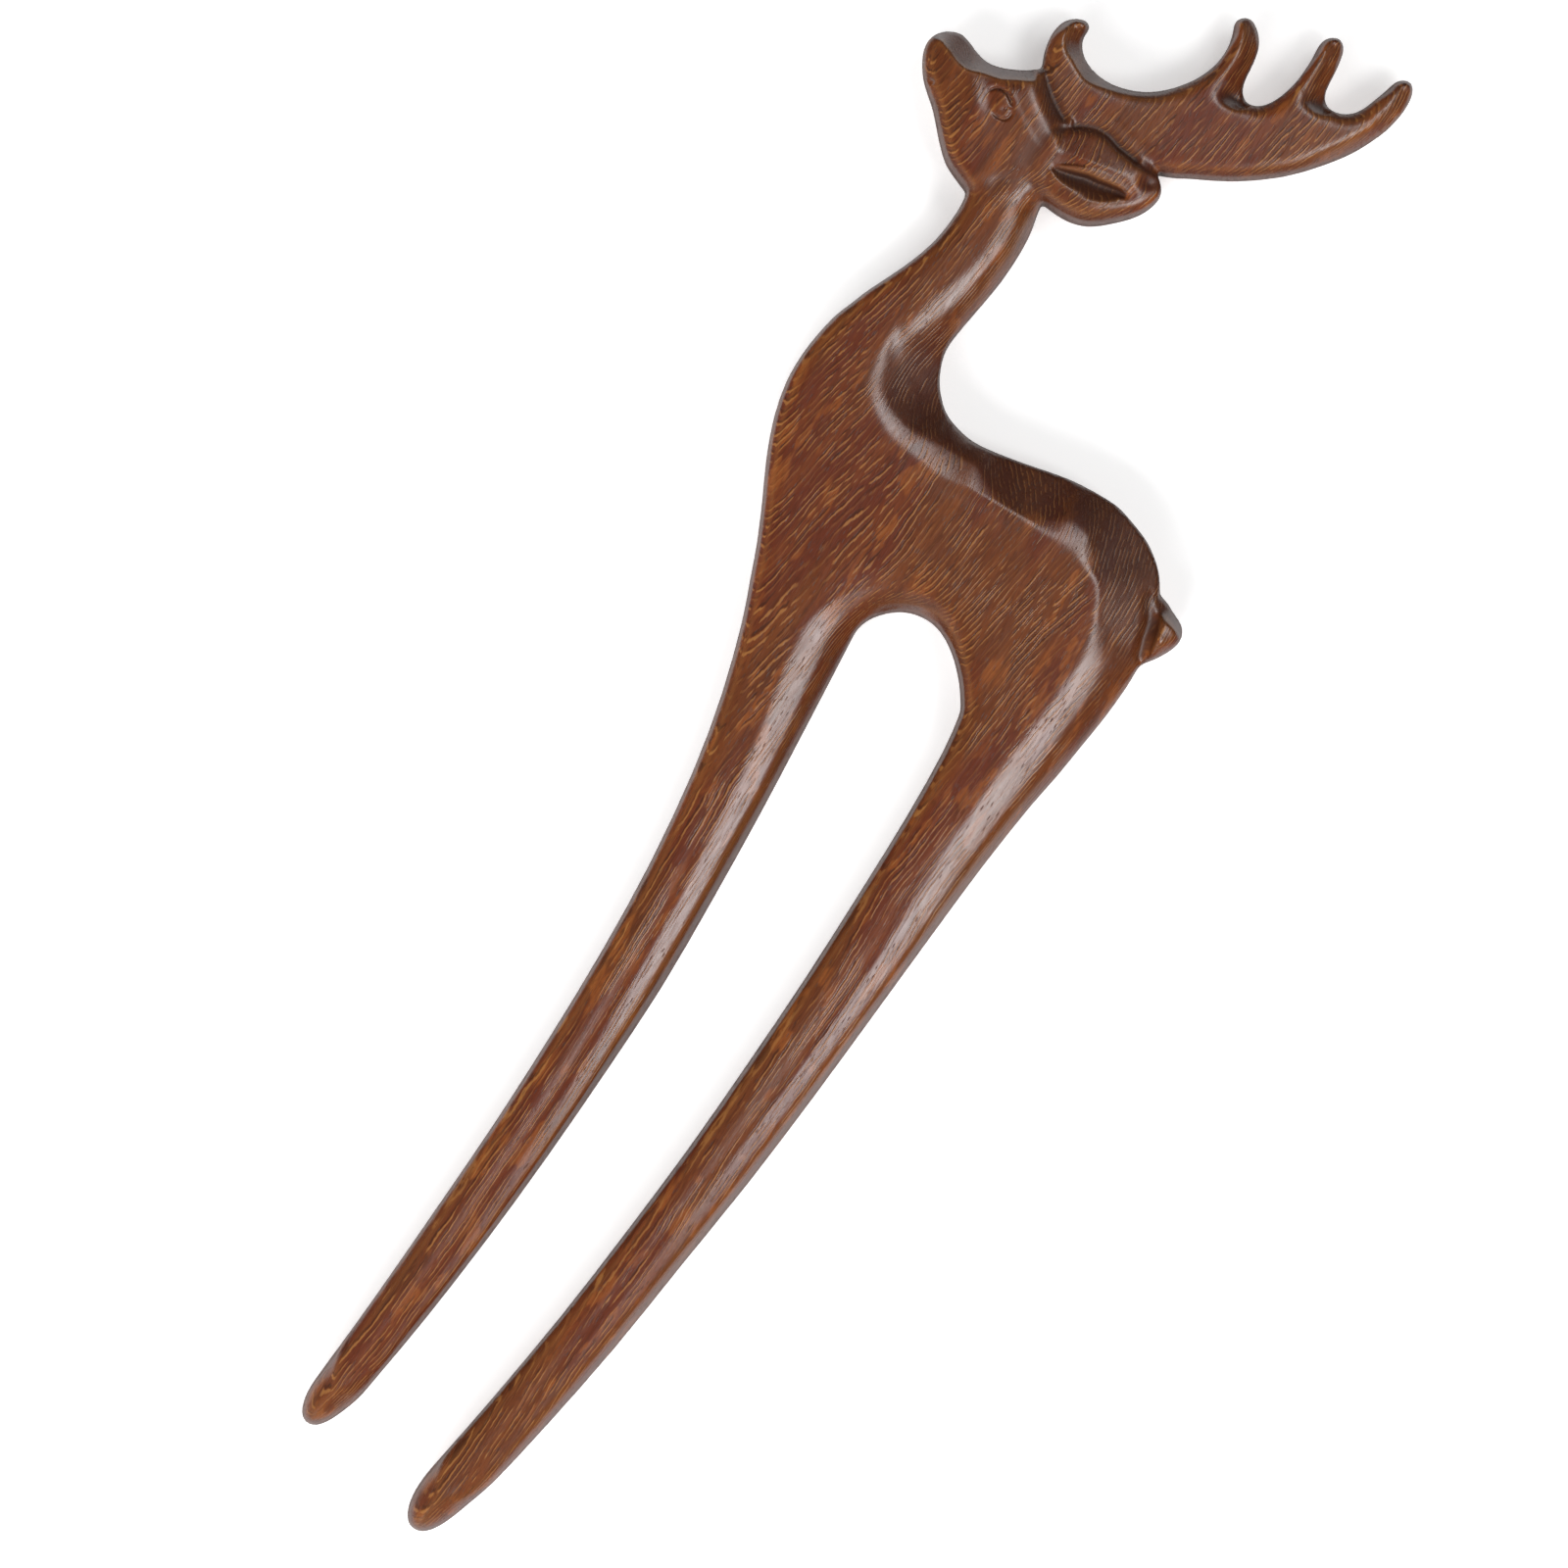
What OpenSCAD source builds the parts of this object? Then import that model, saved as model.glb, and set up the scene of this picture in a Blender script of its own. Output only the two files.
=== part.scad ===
// Carved wooden hair fork: a standing stag whose two long legs are the prongs.
// One piece of hardwood, sawn to its outline, with every edge rounded over.
// It lies on its side: +Y runs from the prong tips to the antler, +Z is up through the thickness.

/* [Body] */
// Length of the trunk from chest to rump
body_l = 46; // [38:1:56]
// Height of the trunk from the top of the gap to the saddle
body_h = 18; // [14:1:24]
// Thickness of the trunk and of the upper prongs
body_t = 8; // [6:0.5:10]
// How far the broad rounding of the back and haunch reaches in from the edge
back_round = 6.5; // [4:0.5:7]
// Reach of the small rounding on all the other edges
edge_round = 1.4; // [0.8:0.1:2]

/* [Prongs] */
// Length of the front leg below the top of the gap
front_leg_l = 103; // [80:1:125]
// Length of the hind leg below the top of the gap
hind_leg_l = 106.4; // [80:0.2:125]
// Width of the front leg at mid length
front_leg_w = 7; // [5:0.5:9]
// Width of the hind leg at mid length
hind_leg_w = 7.4; // [5:0.2:9]
// Width of the gap between the legs where it is widest
leg_gap = 13.6; // [10:0.2:18]
// How far both legs swing forward on their way down
leg_sweep = 5; // [0:0.5:8]
// Reach of the broad rounding down the rear edge of each leg
leg_round = 4.5; // [2:0.5:5]
// Thickness of the prongs at their tips
tip_t = 4.4; // [3:0.2:6]

/* [Tail] */
// How far the tail stands out from the rump
tail_l = 2.6; // [1.5:0.1:5]
// Length of the tail's root along the rump
tail_w = 7.2; // [5:0.2:9]

/* [Neck] */
// Length of the neck from the saddle to the jaw
neck_l = 24.3; // [18:0.1:34]
// Width of the neck below the head
neck_w = 7.7; // [6:0.1:10]
// Thickness of the neck below the head
neck_t = 7.2; // [5:0.2:8]

/* [Head] */
// Length of the head from nose to nape
head_l = 18.4; // [15:0.2:24]
// Height of the head from jaw to forehead
head_h = 14.5; // [12:0.5:19]
// Thickness of the head
head_t = 7.8; // [6:0.2:9]
// Width of the eye
eye_w = 3; // [2:0.1:4]

/* [Ear] */
// Length of the ear from root to tip
ear_l = 13; // [9:0.5:17]
// Width of the ear
ear_w = 9.6; // [7:0.2:12]
// Thickness through both ears
ear_t = 7.8; // [6:0.2:9]

/* [Antler] */
// Distance along the back from the root of the antler to its farthest tine
antler_l = 29.5; // [22:0.5:38]
// Height of the antler above the forehead
antler_h = 21; // [15:0.5:28]
// Depth of the beam below the tines
beam_w = 8; // [6:0.5:10]
// Width of a tine at mid height
tine_w = 3; // [2:0.1:4]
// Thickness of the beam
antler_t = 5.4; // [4:0.2:7]

/* [Hidden] */
wood = [0.45, 0.25, 0.15];

// Steps between two knots of an outline, and steps round an edge from side to face
knot_steps = 2;
edge_steps = 4;
antler_edge_steps = 3;
hollow_steps = 8;

// How deep an edge's rounding goes, share of its reach, and the least upright part, share of the thickness
round_depth = 1.15;
least_upright = 0.15;

// Most that a rounding may reach into a leg, its rear edge, a tip, a tine and a tine's tip: share of width
leg_limit = 0.3;
leg_rear_limit = 0.58;
tip_limit = 0.23;
tine_limit = 0.42;
tine_tip_limit = 0.3;

// Places that several pieces share, measured from the middle of the gap at its top
chest_share = 0.583;
neck_share = 0.65;
brow_share = 0.655;
chest_x = chest_share * body_l;
rump_x = body_l - chest_x;
neck_x = -neck_share * chest_x;
head_y = body_h + neck_l;
brow_y = head_y + brow_share * head_h;
half_body = body_t / 2;

// Root of the tail, share of rump_x and body_h, its rounding over edge_round, and its share of the thickness
tail_at = [0.953, 0.62];
tail_round = 1.2;
tail_thick = 0.78;

// Root of the ear, share of head_h above the neck
ear_up = 0.333;
// Hollow of the ear: place, length and width as shares of the ear's, and its turn
hollow_at = [0.477, -0.07];
hollow_l = 0.65 * ear_l;
hollow_w = 0.19 * ear_w;
hollow_angle = 16;

// Eye: place as shares of the head's length and height, and the groove's share of the eye's width
eye_at = [-0.32, 0.42];
groove_w = 0.2 * eye_w;

// Both legs, from the trunk to where the tips begin.
// down: share of the leg's length. sway: middle of the gap, share of leg_sweep. gap: share of leg_gap.
// front, hind: share of the leg's own width. f_flare, h_flare: share of the way out to chest and rump.
// thick: 1 is the trunk's thickness, 0 the tip's
//  down  sway   gap   front f_flare hind  h_flare thick
legs = [
    [0.06, -0.095, 0.98, 1.00, 0.385, 1.00, 0.885, 1.00],
    [0.10, 0.00, 1.00, 1.00, 0.29, 1.00, 0.62, 1.00],
    [0.17, 0.09, 0.985, 1.00, 0.17, 1.00, 0.38, 1.00],
    [0.25, 0.155, 0.945, 1.00, 0.087, 1.00, 0.235, 1.00],
    [0.35, 0.20, 0.90, 1.00, 0.032, 1.00, 0.10, 1.00],
    [0.45, 0.195, 0.85, 1.00, 0.012, 1.00, 0.015, 1.00],
    [0.55, 0.115, 0.83, 0.965, 0, 0.95, 0, 0.97],
    [0.65, -0.02, 0.80, 0.915, 0, 0.89, 0, 0.88],
    [0.75, -0.20, 0.775, 0.87, 0, 0.86, 0, 0.72],
    [0.85, -0.45, 0.745, 0.79, 0, 0.82, 0, 0.50],
    [0.92, -0.67, 0.73, 0.715, 0, 0.785, 0, 0.28],
    [0.95, -0.765, 0.725, 0.685, 0, 0.725, 0, 0.20],
];

// Rounded tip below the last row. turn: angle round the tip. wide, thick: share of the last row's.
// sway: share of the tip's own further swing
tip_rows = [[25, 0.87, 1.00, 0.55], [50, 0.63, 0.92, 0.85], [75, 0.30, 0.80, 1.0], [90, 0.00, 0.72, 1.0]];
// Further swing of a tip, share of leg_sweep
tip_sway = 0.145;

// Front of the chest, downward. up: share of body_h. flare: as for the front leg
chest = [
    [0.96, 1.00],
    [0.74, 1.00],
    [0.515, 0.93],
    [0.295, 0.81],
    [0.07, 0.655],
    [-0.04, 0.585],
    [-0.15, 0.515],
];

// Top of the gap, front to back. across, up: shares of half the gap. broad: 1 is leg_round, 0 edge_round
arch = [
    [-1.066, -0.69, 1.0],
    [-1.03, -0.544, 1.0],
    [-0.956, -0.397, 1.0],
    [-0.853, -0.275, 0.9],
    [-0.72, -0.15, 0.8],
    [-0.515, -0.04, 0.6],
    [-0.25, 0.007, 0.4],
    [-0.015, -0.03, 0.3],
    [0.19, -0.13, 0.2],
    [0.38, -0.265, 0.1],
    [0.53, -0.405, 0.0],
    [0.69, -0.58, 0.0],
    [0.868, -0.838, 0.0],
];

// Rump from the hind leg up, then the back forward. up: share of body_h. out: share of rump_x.
// broad: 1 is back_round, 0 leg_round
rump = [
    [-0.15, 0.962, 0.0],
    [0.07, 0.988, 0.1],
    [0.295, 1.00, 0.2],
    [0.47, 0.99, 0.4],
    [0.64, 0.958, 0.7],
];
back = [
    [0.82, 0.888, 1.0],
    [0.90, 0.841, 1.0],
    [0.956, 0.792, 1.0],
    [1.035, 0.69, 1.0],
    [1.08, 0.578, 1.0],
    [1.115, 0.47, 1.0],
    [1.122, 0.37, 1.0],
    [1.106, 0.16, 1.0],
    [1.056, -0.047, 1.0],
];

// Saddle, from the back to the foot of the neck. out: share of the way to the neck. up: share of body_h
saddle = [[0.363, 1.011], [0.585, 0.997], [0.807, 1.042], [0.919, 1.11]];

// Neck, upward. up: share of neck_l. lean: shift toward the chest, share of neck_w. wide: share of neck_w.
// broad: rounding of the rear edge, share of neck_w. thick: 1 is the trunk's thickness, 0 the neck's
neck = [
    [0.136, 0.31, 1.64, 0.75, 1.0],
    [0.22, 0.32, 1.42, 0.62, 0.9],
    [0.30, 0.29, 1.30, 0.52, 0.8],
    [0.465, 0.136, 1.135, 0.45, 0.5],
    [0.63, 0.013, 1.034, 0.42, 0.2],
    [0.80, -0.014, 1.00, 0.42, 0.0],
    [0.90, 0.026, 1.00, 0.42, 0.0],
    [1.00, 0.042, 0.90, 0.42, 0.0],
    [1.18, 0.00, 0.85, 0.40, 0.0],
];

// Head round from the nose along the jaw to the nape, then over the brow back to the nose.
// out: share of head_l from the neck's axis. up: share of head_h above the neck's end.
// round: share of edge_round. thick: share of head_t
head_low = [
    [-0.845, 0.53, 1.0, 0.74],
    [-0.815, 0.41, 1.0, 0.77],
    [-0.74, 0.28, 1.0, 0.84],
    [-0.62, 0.155, 1.0, 0.92],
    [-0.511, 0.007, 1.0, 0.98],
    [-0.402, -0.122, 1.0, 1.0],
    [-0.293, -0.183, 1.0, 1.0],
    [-0.206, -0.215, 1.0, 1.0],
    [-0.076, -0.152, 1.0, 1.0],
    [0.033, -0.083, 1.0, 1.0],
    [0.13, 0.014, 1.0, 1.0],
];
head_top = [
    [0.16, 0.16, 1.0, 1.0],
    [0.163, 0.345, 1.0, 1.0],
    [0.125, 0.55, 1.2, 1.0],
    [0.016, 0.703, 1.4, 1.0],
    [-0.10, 0.80, 1.5, 1.0],
    [-0.206, 0.80, 1.6, 1.0],
    [-0.31, 0.72, 1.6, 1.0],
    [-0.418, 0.655, 1.6, 0.97],
    [-0.511, 0.634, 1.6, 0.91],
    [-0.609, 0.672, 1.6, 0.85],
    [-0.69, 0.71, 1.5, 0.79],
    [-0.755, 0.69, 1.3, 0.76],
    [-0.815, 0.634, 1.1, 0.74],
];

// Ear, a leaf: root to tip along its lower edge, then back along the upper one.
// out: share of ear_l. up: share of ear_w. round: share of edge_round. thick: share of ear_t
ear_low = [
    [0.015, -0.24, 1.0, 0.92],
    [0.115, -0.417, 1.0, 0.94],
    [0.223, -0.49, 1.1, 0.96],
    [0.346, -0.52, 1.2, 0.98],
    [0.50, -0.515, 1.3, 1.0],
    [0.654, -0.445, 1.4, 1.0],
    [0.808, -0.27, 1.3, 0.96],
    [0.923, -0.10, 1.1, 0.90],
    [0.981, 0.042, 1.0, 0.86],
];
ear_top = [
    [1.008, 0.19, 0.8, 0.82],
    [0.988, 0.28, 0.8, 0.82],
    [0.938, 0.35, 0.9, 0.84],
    [0.88, 0.40, 1.1, 0.88],
    [0.80, 0.432, 1.3, 0.92],
    [0.654, 0.469, 1.7, 0.98],
    [0.46, 0.50, 2.0, 1.0],
    [0.27, 0.458, 1.9, 1.0],
    [0.115, 0.333, 1.4, 0.96],
    [0.008, 0.125, 1.0, 0.92],
];

// Tail, a lobe on the rump, from its lower root to the point, then back over it.
// out: share of tail_l. up: share of tail_w
tail_low = [
    [-0.9, -0.25],
    [0.1, -0.53],
    [0.4, -0.45],
    [0.75, -0.29],
    [1.10, -0.05],
    [1.18, 0.14],
];
tail_top = [
    [0.92, 0.30],
    [0.4, 0.38],
    [-0.35, 0.50],
    [-0.9, 0.30],
];

// Tines, front to back, each upward to its tip: up: share of antler_h. mid: share of antler_l.
// wide: share of tine_w, 0 at the tip. thick: share of antler_t
tines = [
    [[0.257, -0.106, 1.35, 1.0], [0.31, -0.121, 1.02, 0.95], [0.357, -0.119, 0.85, 0.85],
     [0.395, -0.103, 0.63, 0.75], [0.416, -0.098, 0, 0.65]],
    [[0.51, 0.422, 1.43, 1.0], [0.571, 0.42, 1.13, 0.96], [0.652, 0.42, 1.03, 0.92],
     [0.738, 0.408, 1.03, 0.85], [0.80, 0.386, 0.95, 0.75], [0.85, 0.38, 0, 0.65]],
    [[0.686, 0.69, 1.23, 1.0], [0.738, 0.683, 1.00, 0.96], [0.833, 0.681, 0.92, 0.88],
     [0.919, 0.674, 0.885, 0.78], [0.967, 0.675, 0.65, 0.70], [0.995, 0.678, 0, 0.65]],
    [[0.748, 0.929, 1.13, 0.94], [0.833, 0.946, 1.03, 0.86], [0.914, 0.956, 0.85, 0.76],
     [0.967, 0.956, 0.66, 0.70], [1.00, 0.963, 0, 0.65]],
];

// Upper edge of the beam between the tines, front to back. out: share of antler_l. up: share of antler_h
crotches = [
    [[0.014, 0.224], [0.081, 0.214], [0.156, 0.238], [0.224, 0.286], [0.288, 0.369], [0.329, 0.45]],
    [[0.529, 0.481], [0.573, 0.51], [0.607, 0.586]],
    [[0.786, 0.669], [0.834, 0.69]],
];

// Lower edge of the beam, front to back. out, up: as above, for the upper edge over it. drop: share of beam_w
beam_low = [
    [-0.065, 0.25, 0.78],
    [0.088, 0.22, 0.77],
    [0.258, 0.32, 1.03],
    [0.41, 0.46, 1.285],
    [0.495, 0.475, 1.16],
    [0.63, 0.55, 1.09],
    [0.766, 0.665, 1.01],
    [0.864, 0.72, 0.755],
    [0.932, 0.80, 0.61],
    [0.976, 0.85, 0.39],
];

// Front of the beam, downward from the first tine into the brow.
// out: share of antler_l. up: share of antler_h
beam_front = [[-0.163, 0.171], [-0.141, 0.105], [-0.12, 0.03]];

// A smooth closed curve through the knots, with n steps between two of them; it never grows
// thicker than the thicker of the two
function flow(k, n) = [
    for (i = [0:len(k) - 1], s = [0:n - 1])
        let (
            c = len(k), a = k[(i + c - 1) % c], b = k[i], d = k[(i + 1) % c], e = k[(i + 2) % c], t = s / n,
            v = b + 0.5 * t * (d - a + t * (2 * a - 5 * b + 4 * d - e + t * (3 * b - a - 3 * d + e)))
        )
            [v[0], v[1], v[2], min(v[3], max(b[3], d[3]))]
];

// Unit vector from point i of a rim toward the inside
function inward(rim, i) =
    let (m = len(rim), d = rim[(i + 1) % m] - rim[(i + m - 1) % m])
        [-d[1], d[0]] / norm([d[0], d[1]]);

// Half height of the upright part of an edge
function upright(round, half) = max(half - round_depth * round, least_upright * half);

// One loop of points, turned a degrees round the edge, on the side given as 1 or -1
function ring(rim, a, side) = [
    for (i = [0:len(rim) - 1])
        let (p = rim[i], v = inward(rim, i) * p[2] * (1 - cos(a)), u = upright(p[2], p[3]))
            [p[0] + v[0], p[1] + v[1], side * (u + (p[3] - u) * sin(a))]
];

// Triangles between two chains of point numbers, always taking the shorter rung next
function stitch(p, a, b, i = 0, j = 0) =
    i == len(a) - 1 && j == len(b) - 1 ? [] :
    let (
        da = i < len(a) - 1 ? norm(p[a[i + 1]] - p[b[j]]) : 1e6,
        db = j < len(b) - 1 ? norm(p[a[i]] - p[b[j + 1]]) : 1e6
    )
        da <= db ? concat([[a[i], a[i + 1], b[j]]], stitch(p, a, b, i + 1, j))
                 : concat([[a[i], b[j + 1], b[j]]], stitch(p, a, b, i, j + 1));

// Point numbers from knot a to knot b of a rim of m knots, either way round; trim leaves out the last ones
function chain(a, b, m, trim = 0) =
    let (n = knot_steps, d = a <= b ? 1 : -1)
        [for (i = [a * n:d:b * n - d * trim]) i % (m * n)];

// Seam of a face that is one strip: its lower chain has low of the m knots
function strip(low, m) = [chain(0, low - 1, m), chain(m - 1 / knot_steps, low - 1, m, 1)];

function flip(list) = [for (i = [len(list) - 1:-1:0]) list[i]];

// Solid inside a closed outline, with rounded edges and two faces.
// knots: [x, y, round, half thickness], anticlockwise. seams: pairs of chains that the faces lie between
module plate(knots, seams, n = edge_steps) {
    rim = flow(knots, knot_steps);
    m = len(rim);
    rings = concat(
        [for (k = [n:-1:0]) ring(rim, 90 * k / n, -1)],
        [for (k = [0:n]) ring(rim, 90 * k / n, 1)]
    );
    last = len(rings) - 1;
    face = [for (s = seams) each stitch(rings[last], s[0], s[1])];
    sides = [
        for (q = [0:last - 1], i = [0:m - 1])
            let (a = q * m + i, b = q * m + (i + 1) % m)
                each [[a, a + m, b + m], [a, b + m, b]]
    ];
    top = [for (f = face) [for (v = flip(f)) v + last * m]];
    polyhedron(points = [for (r = rings) each r], faces = concat(sides, top, face));
}

// Outer edge of the front leg at a given share of the way out to the chest
function front_edge(flare) =
    let (inner = leg_gap / 2 + front_leg_w) -inner - flare * (chest_x - inner);

// Width of either leg in one row, widened toward the trunk
function front_w(r) = front_leg_w * r[3] + r[4] * (chest_x - leg_gap / 2 - front_leg_w);
function hind_w(r) = hind_leg_w * r[5] + r[6] * (rump_x - leg_gap / 2 - hind_leg_w);

// Edge of the gap in one row, front or hind
function gap_edge(r, side) = r[1] * leg_sweep + side * r[2] * leg_gap / 2;

function leg_half(r) = (tip_t + r[7] * (body_t - tip_t)) / 2;
function small_round(w) = min(edge_round, leg_limit * w);
function broad_round(w) = min(leg_round, leg_rear_limit * w);

// Knots down the outer and inner edges of the front leg, and of the hind leg
front_outer = [for (r = legs) let (w = front_w(r))
    [gap_edge(r, -1) - w, -r[0] * front_leg_l, small_round(w), leg_half(r)]];
front_inner = [for (r = legs) let (w = front_w(r))
    [gap_edge(r, -1), -r[0] * front_leg_l, broad_round(w), leg_half(r)]];
hind_inner = [for (r = legs) let (w = hind_w(r))
    [gap_edge(r, 1), -r[0] * hind_leg_l, small_round(w), leg_half(r)]];
hind_outer = [for (r = legs) let (w = hind_w(r))
    [gap_edge(r, 1) + w, -r[0] * hind_leg_l, broad_round(w), leg_half(r)]];

// Knots round a tip, from its front edge to its rear edge, as half an ellipse below the last row
function tip(front, rear, leg_l) =
    let (w = rear[0] - front[0], x = (rear[0] + front[0]) / 2, h = leg_l + rear[1], last = len(tip_rows) - 1)
        [
            for (side = [-1, 1], i = side < 0 ? [0:last] : [last - 1:-1:0])
                let (r = tip_rows[i])
                    [
                        x + side * r[1] * w / 2 - r[3] * tip_sway * leg_sweep,
                        rear[1] - h * sin(r[0]),
                        tip_limit * w,
                        rear[3] * r[2]
                    ]
        ];

function neck_knot(r, side) =
    [
        neck_x - r[1] * neck_w + side * r[2] * neck_w / 2,
        body_h + r[0] * neck_l,
        side < 0 ? edge_round : r[3] * neck_w,
        (neck_t + r[4] * (body_t - neck_t)) / 2
    ];

neck_front = [for (r = neck) neck_knot(r, -1)];
neck_rear = [for (r = neck) neck_knot(r, 1)];
chest_knots = [for (r = chest) [front_edge(r[1]), r[0] * body_h, edge_round, half_body]];
arch_knots = [
    for (r = arch)
        [r[0] * leg_gap / 2, r[1] * leg_gap / 2, edge_round + r[2] * (leg_round - edge_round), half_body]
];
rump_knots = [
    for (r = concat(rump, back)) [r[1] * rump_x, r[0] * body_h, leg_round + r[2] * (back_round - leg_round), half_body]
];
saddle_knots = [for (r = saddle) [r[0] * neck_rear[0][0], r[1] * body_h, back_round, half_body]];

front_tip = tip(front_outer[len(legs) - 1], front_inner[len(legs) - 1], front_leg_l);
hind_tip = tip(hind_inner[len(legs) - 1], hind_outer[len(legs) - 1], hind_leg_l);

body_knots = concat(
    flip(neck_front), chest_knots,
    front_outer, front_tip, flip(front_inner),
    arch_knots,
    hind_inner, hind_tip, flip(hind_outer),
    rump_knots, saddle_knots, neck_rear
);

// Numbers of the knots where the legs meet the trunk
front_out = len(neck) + len(chest);
leg_knots = 2 * len(legs) + len(front_tip);
front_in = front_out + leg_knots - 1;
hind_in = front_in + len(arch) + 1;
hind_out = hind_in + leg_knots - 1;
half_leg = len(legs) + (len(front_tip) - 1) / 2;

function head_knot(r) =
    [neck_x + r[0] * head_l, head_y + r[1] * head_h, r[2] * edge_round, r[3] * head_t / 2];
head_knots = [for (r = concat(head_low, head_top)) head_knot(r)];

function ear_knot(r) =
    [neck_x + r[0] * ear_l, head_y + ear_up * head_h + r[1] * ear_w, r[2] * edge_round, r[3] * ear_t / 2];
ear_knots = [for (r = concat(ear_low, ear_top)) ear_knot(r)];

tail_knots = [
    for (r = concat(tail_low, tail_top))
        [
            tail_at[0] * rump_x + r[0] * tail_l,
            tail_at[1] * body_h + r[1] * tail_w,
            tail_round * edge_round,
            tail_thick * half_body
        ]
];

function tine_side(t, side) = [
    for (r = t)
        if (r[2] > 0)
            let (w = r[2] * tine_w)
                [
                    neck_x + r[1] * antler_l + side * w / 2,
                    brow_y + r[0] * antler_h,
                    min(edge_round, tine_limit * w),
                    r[3] * antler_t / 2
                ]
];
function tine_tip(t) =
    let (r = t[len(t) - 1])
        [neck_x + r[1] * antler_l, brow_y + r[0] * antler_h, tine_tip_limit * tine_w, r[3] * antler_t / 2];
// From the rear edge of a tine over its tip and down the front edge
function tine_knots(t) = concat(tine_side(t, 1), [tine_tip(t)], flip(tine_side(t, -1)));
function crotch_knots(c) = [
    for (r = flip(c)) [neck_x + r[0] * antler_l, brow_y + r[1] * antler_h, edge_round, antler_t / 2]
];
beam_knots = [
    for (r = beam_low)
        [neck_x + r[0] * antler_l, brow_y + r[1] * antler_h - r[2] * beam_w, edge_round, antler_t / 2]
];
front_knots = [
    for (r = beam_front) [neck_x + r[0] * antler_l, brow_y + r[1] * antler_h, edge_round, antler_t / 2]
];
antler_knots = concat(
    beam_knots,
    [for (j = [len(tines) - 1:-1:1]) each concat(tine_knots(tines[j]), crotch_knots(crotches[j - 1]))],
    tine_knots(tines[0]),
    front_knots
);
// Number of the first knot of each tine in the antler's outline, front tine first
last_tine = len(tines) - 1;
function knots_behind(i) = [
    for (j = [i + 1:1:last_tine]) each concat(tine_knots(tines[j]), crotches[j - 1])
];
tine_start = [for (i = [0:last_tine]) len(beam_low) + len(knots_behind(i))];
function tine_end(i) = tine_start[i] + 2 * len(tines[i]) - 2;

body_seams =
    let (m = len(body_knots), rear = hind_out + len(rump))
        [
            [chain(front_out, front_out + half_leg, m), chain(front_in, front_out + half_leg, m, 1)],
            [chain(hind_in, hind_in + half_leg, m), chain(hind_out, hind_in + half_leg, m, 1)],
            [
                concat(chain(0, front_out, m), chain(front_in, hind_in, m), chain(hind_out, rear, m)),
                chain(m - 1 / knot_steps, rear, m, 1)
            ]
        ];

antler_seams =
    let (m = len(antler_knots))
        [
            for (i = [0:last_tine])
                let (top = (tine_start[i] + tine_end(i)) / 2)
                    [chain(tine_start[i], top, m), chain(tine_end(i), top, m, 1)],
            [
                chain(tine_end(0), m + tine_start[last_tine], m),
                [for (i = [0:last_tine - 1]) each chain(tine_start[i], tine_end(i + 1), m)]
            ]
        ];

module body() {
    color(wood) plate(body_knots, body_seams);
}

module head() {
    color(wood) plate(head_knots, [strip(len(head_low), len(head_knots))]);
}

module ear() {
    color(wood) plate(ear_knots, [strip(len(ear_low), len(ear_knots))]);
}

module tail() {
    color(wood) plate(tail_knots, [strip(len(tail_low), len(tail_knots))]);
}

module antler() {
    color(wood) plate(antler_knots, antler_seams, antler_edge_steps);
}

// Long hollow of the ear, a spindle laid in its face
module ear_hollow() {
    outline = [
        for (i = [0:hollow_steps])
            let (a = 180 * i / hollow_steps - 90)
                [hollow_w / 2 * cos(a), hollow_l / 2 * sin(a)]
    ];
    translate([neck_x + hollow_at[0] * ear_l, head_y + ear_up * head_h + hollow_at[1] * ear_w, ear_t / 2])
        rotate([0, 90, hollow_angle])
            rotate_extrude()
                polygon(outline);
}

// Groove round the eye
module eye_groove() {
    translate([neck_x + eye_at[0] * head_l, head_y + eye_at[1] * head_h, head_t / 2])
        rotate_extrude()
            translate([eye_w / 2, 0])
                circle(d = groove_w);
}

// The fork stands on its own box: middle of its outline, and half its greatest thickness
rim_all = [
    for (k = [body_knots, head_knots, ear_knots, tail_knots, antler_knots]) each flow(k, knot_steps)
];
function column(i) = [for (p = rim_all) p[i]];
middle = [for (i = [0:1]) (min(column(i)) + max(column(i))) / 2];
lift = max(column(3));

module deer_fork() {
    color(wood) translate([-middle[0], -middle[1], lift])
        difference() {
            union() {
                body();
                head();
                ear();
                tail();
                antler();
            }
            for (side = [0, 1])
                mirror([0, 0, side]) {
                    ear_hollow();
                    eye_groove();
                }
        }
}

deer_fork();
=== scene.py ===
"""Looks of the carved wooden hair fork: its smoothed and carved shape, the wood, and a soft studio.

Lengths in the shape's part are millimetres in the frame of the CAD model, and Blender's are metres.
+Y runs from the prong tips to the antler, +X from the stag's chest to its tail, +Z up.
"""
import math

import bpy
import numpy as np
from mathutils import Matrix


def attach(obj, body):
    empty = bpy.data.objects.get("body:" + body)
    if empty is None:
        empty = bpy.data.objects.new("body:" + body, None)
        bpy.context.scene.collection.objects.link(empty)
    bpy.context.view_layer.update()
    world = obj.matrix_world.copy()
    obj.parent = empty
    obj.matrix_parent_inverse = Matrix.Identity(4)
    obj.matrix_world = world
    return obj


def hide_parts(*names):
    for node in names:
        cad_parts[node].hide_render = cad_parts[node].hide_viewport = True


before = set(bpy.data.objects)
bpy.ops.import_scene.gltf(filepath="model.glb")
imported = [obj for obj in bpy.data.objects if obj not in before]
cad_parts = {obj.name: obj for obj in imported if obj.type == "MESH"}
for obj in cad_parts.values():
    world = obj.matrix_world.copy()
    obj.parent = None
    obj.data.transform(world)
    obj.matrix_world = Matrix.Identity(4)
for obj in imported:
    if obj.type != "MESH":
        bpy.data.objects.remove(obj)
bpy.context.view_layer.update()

import openvdb as vdb
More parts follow.
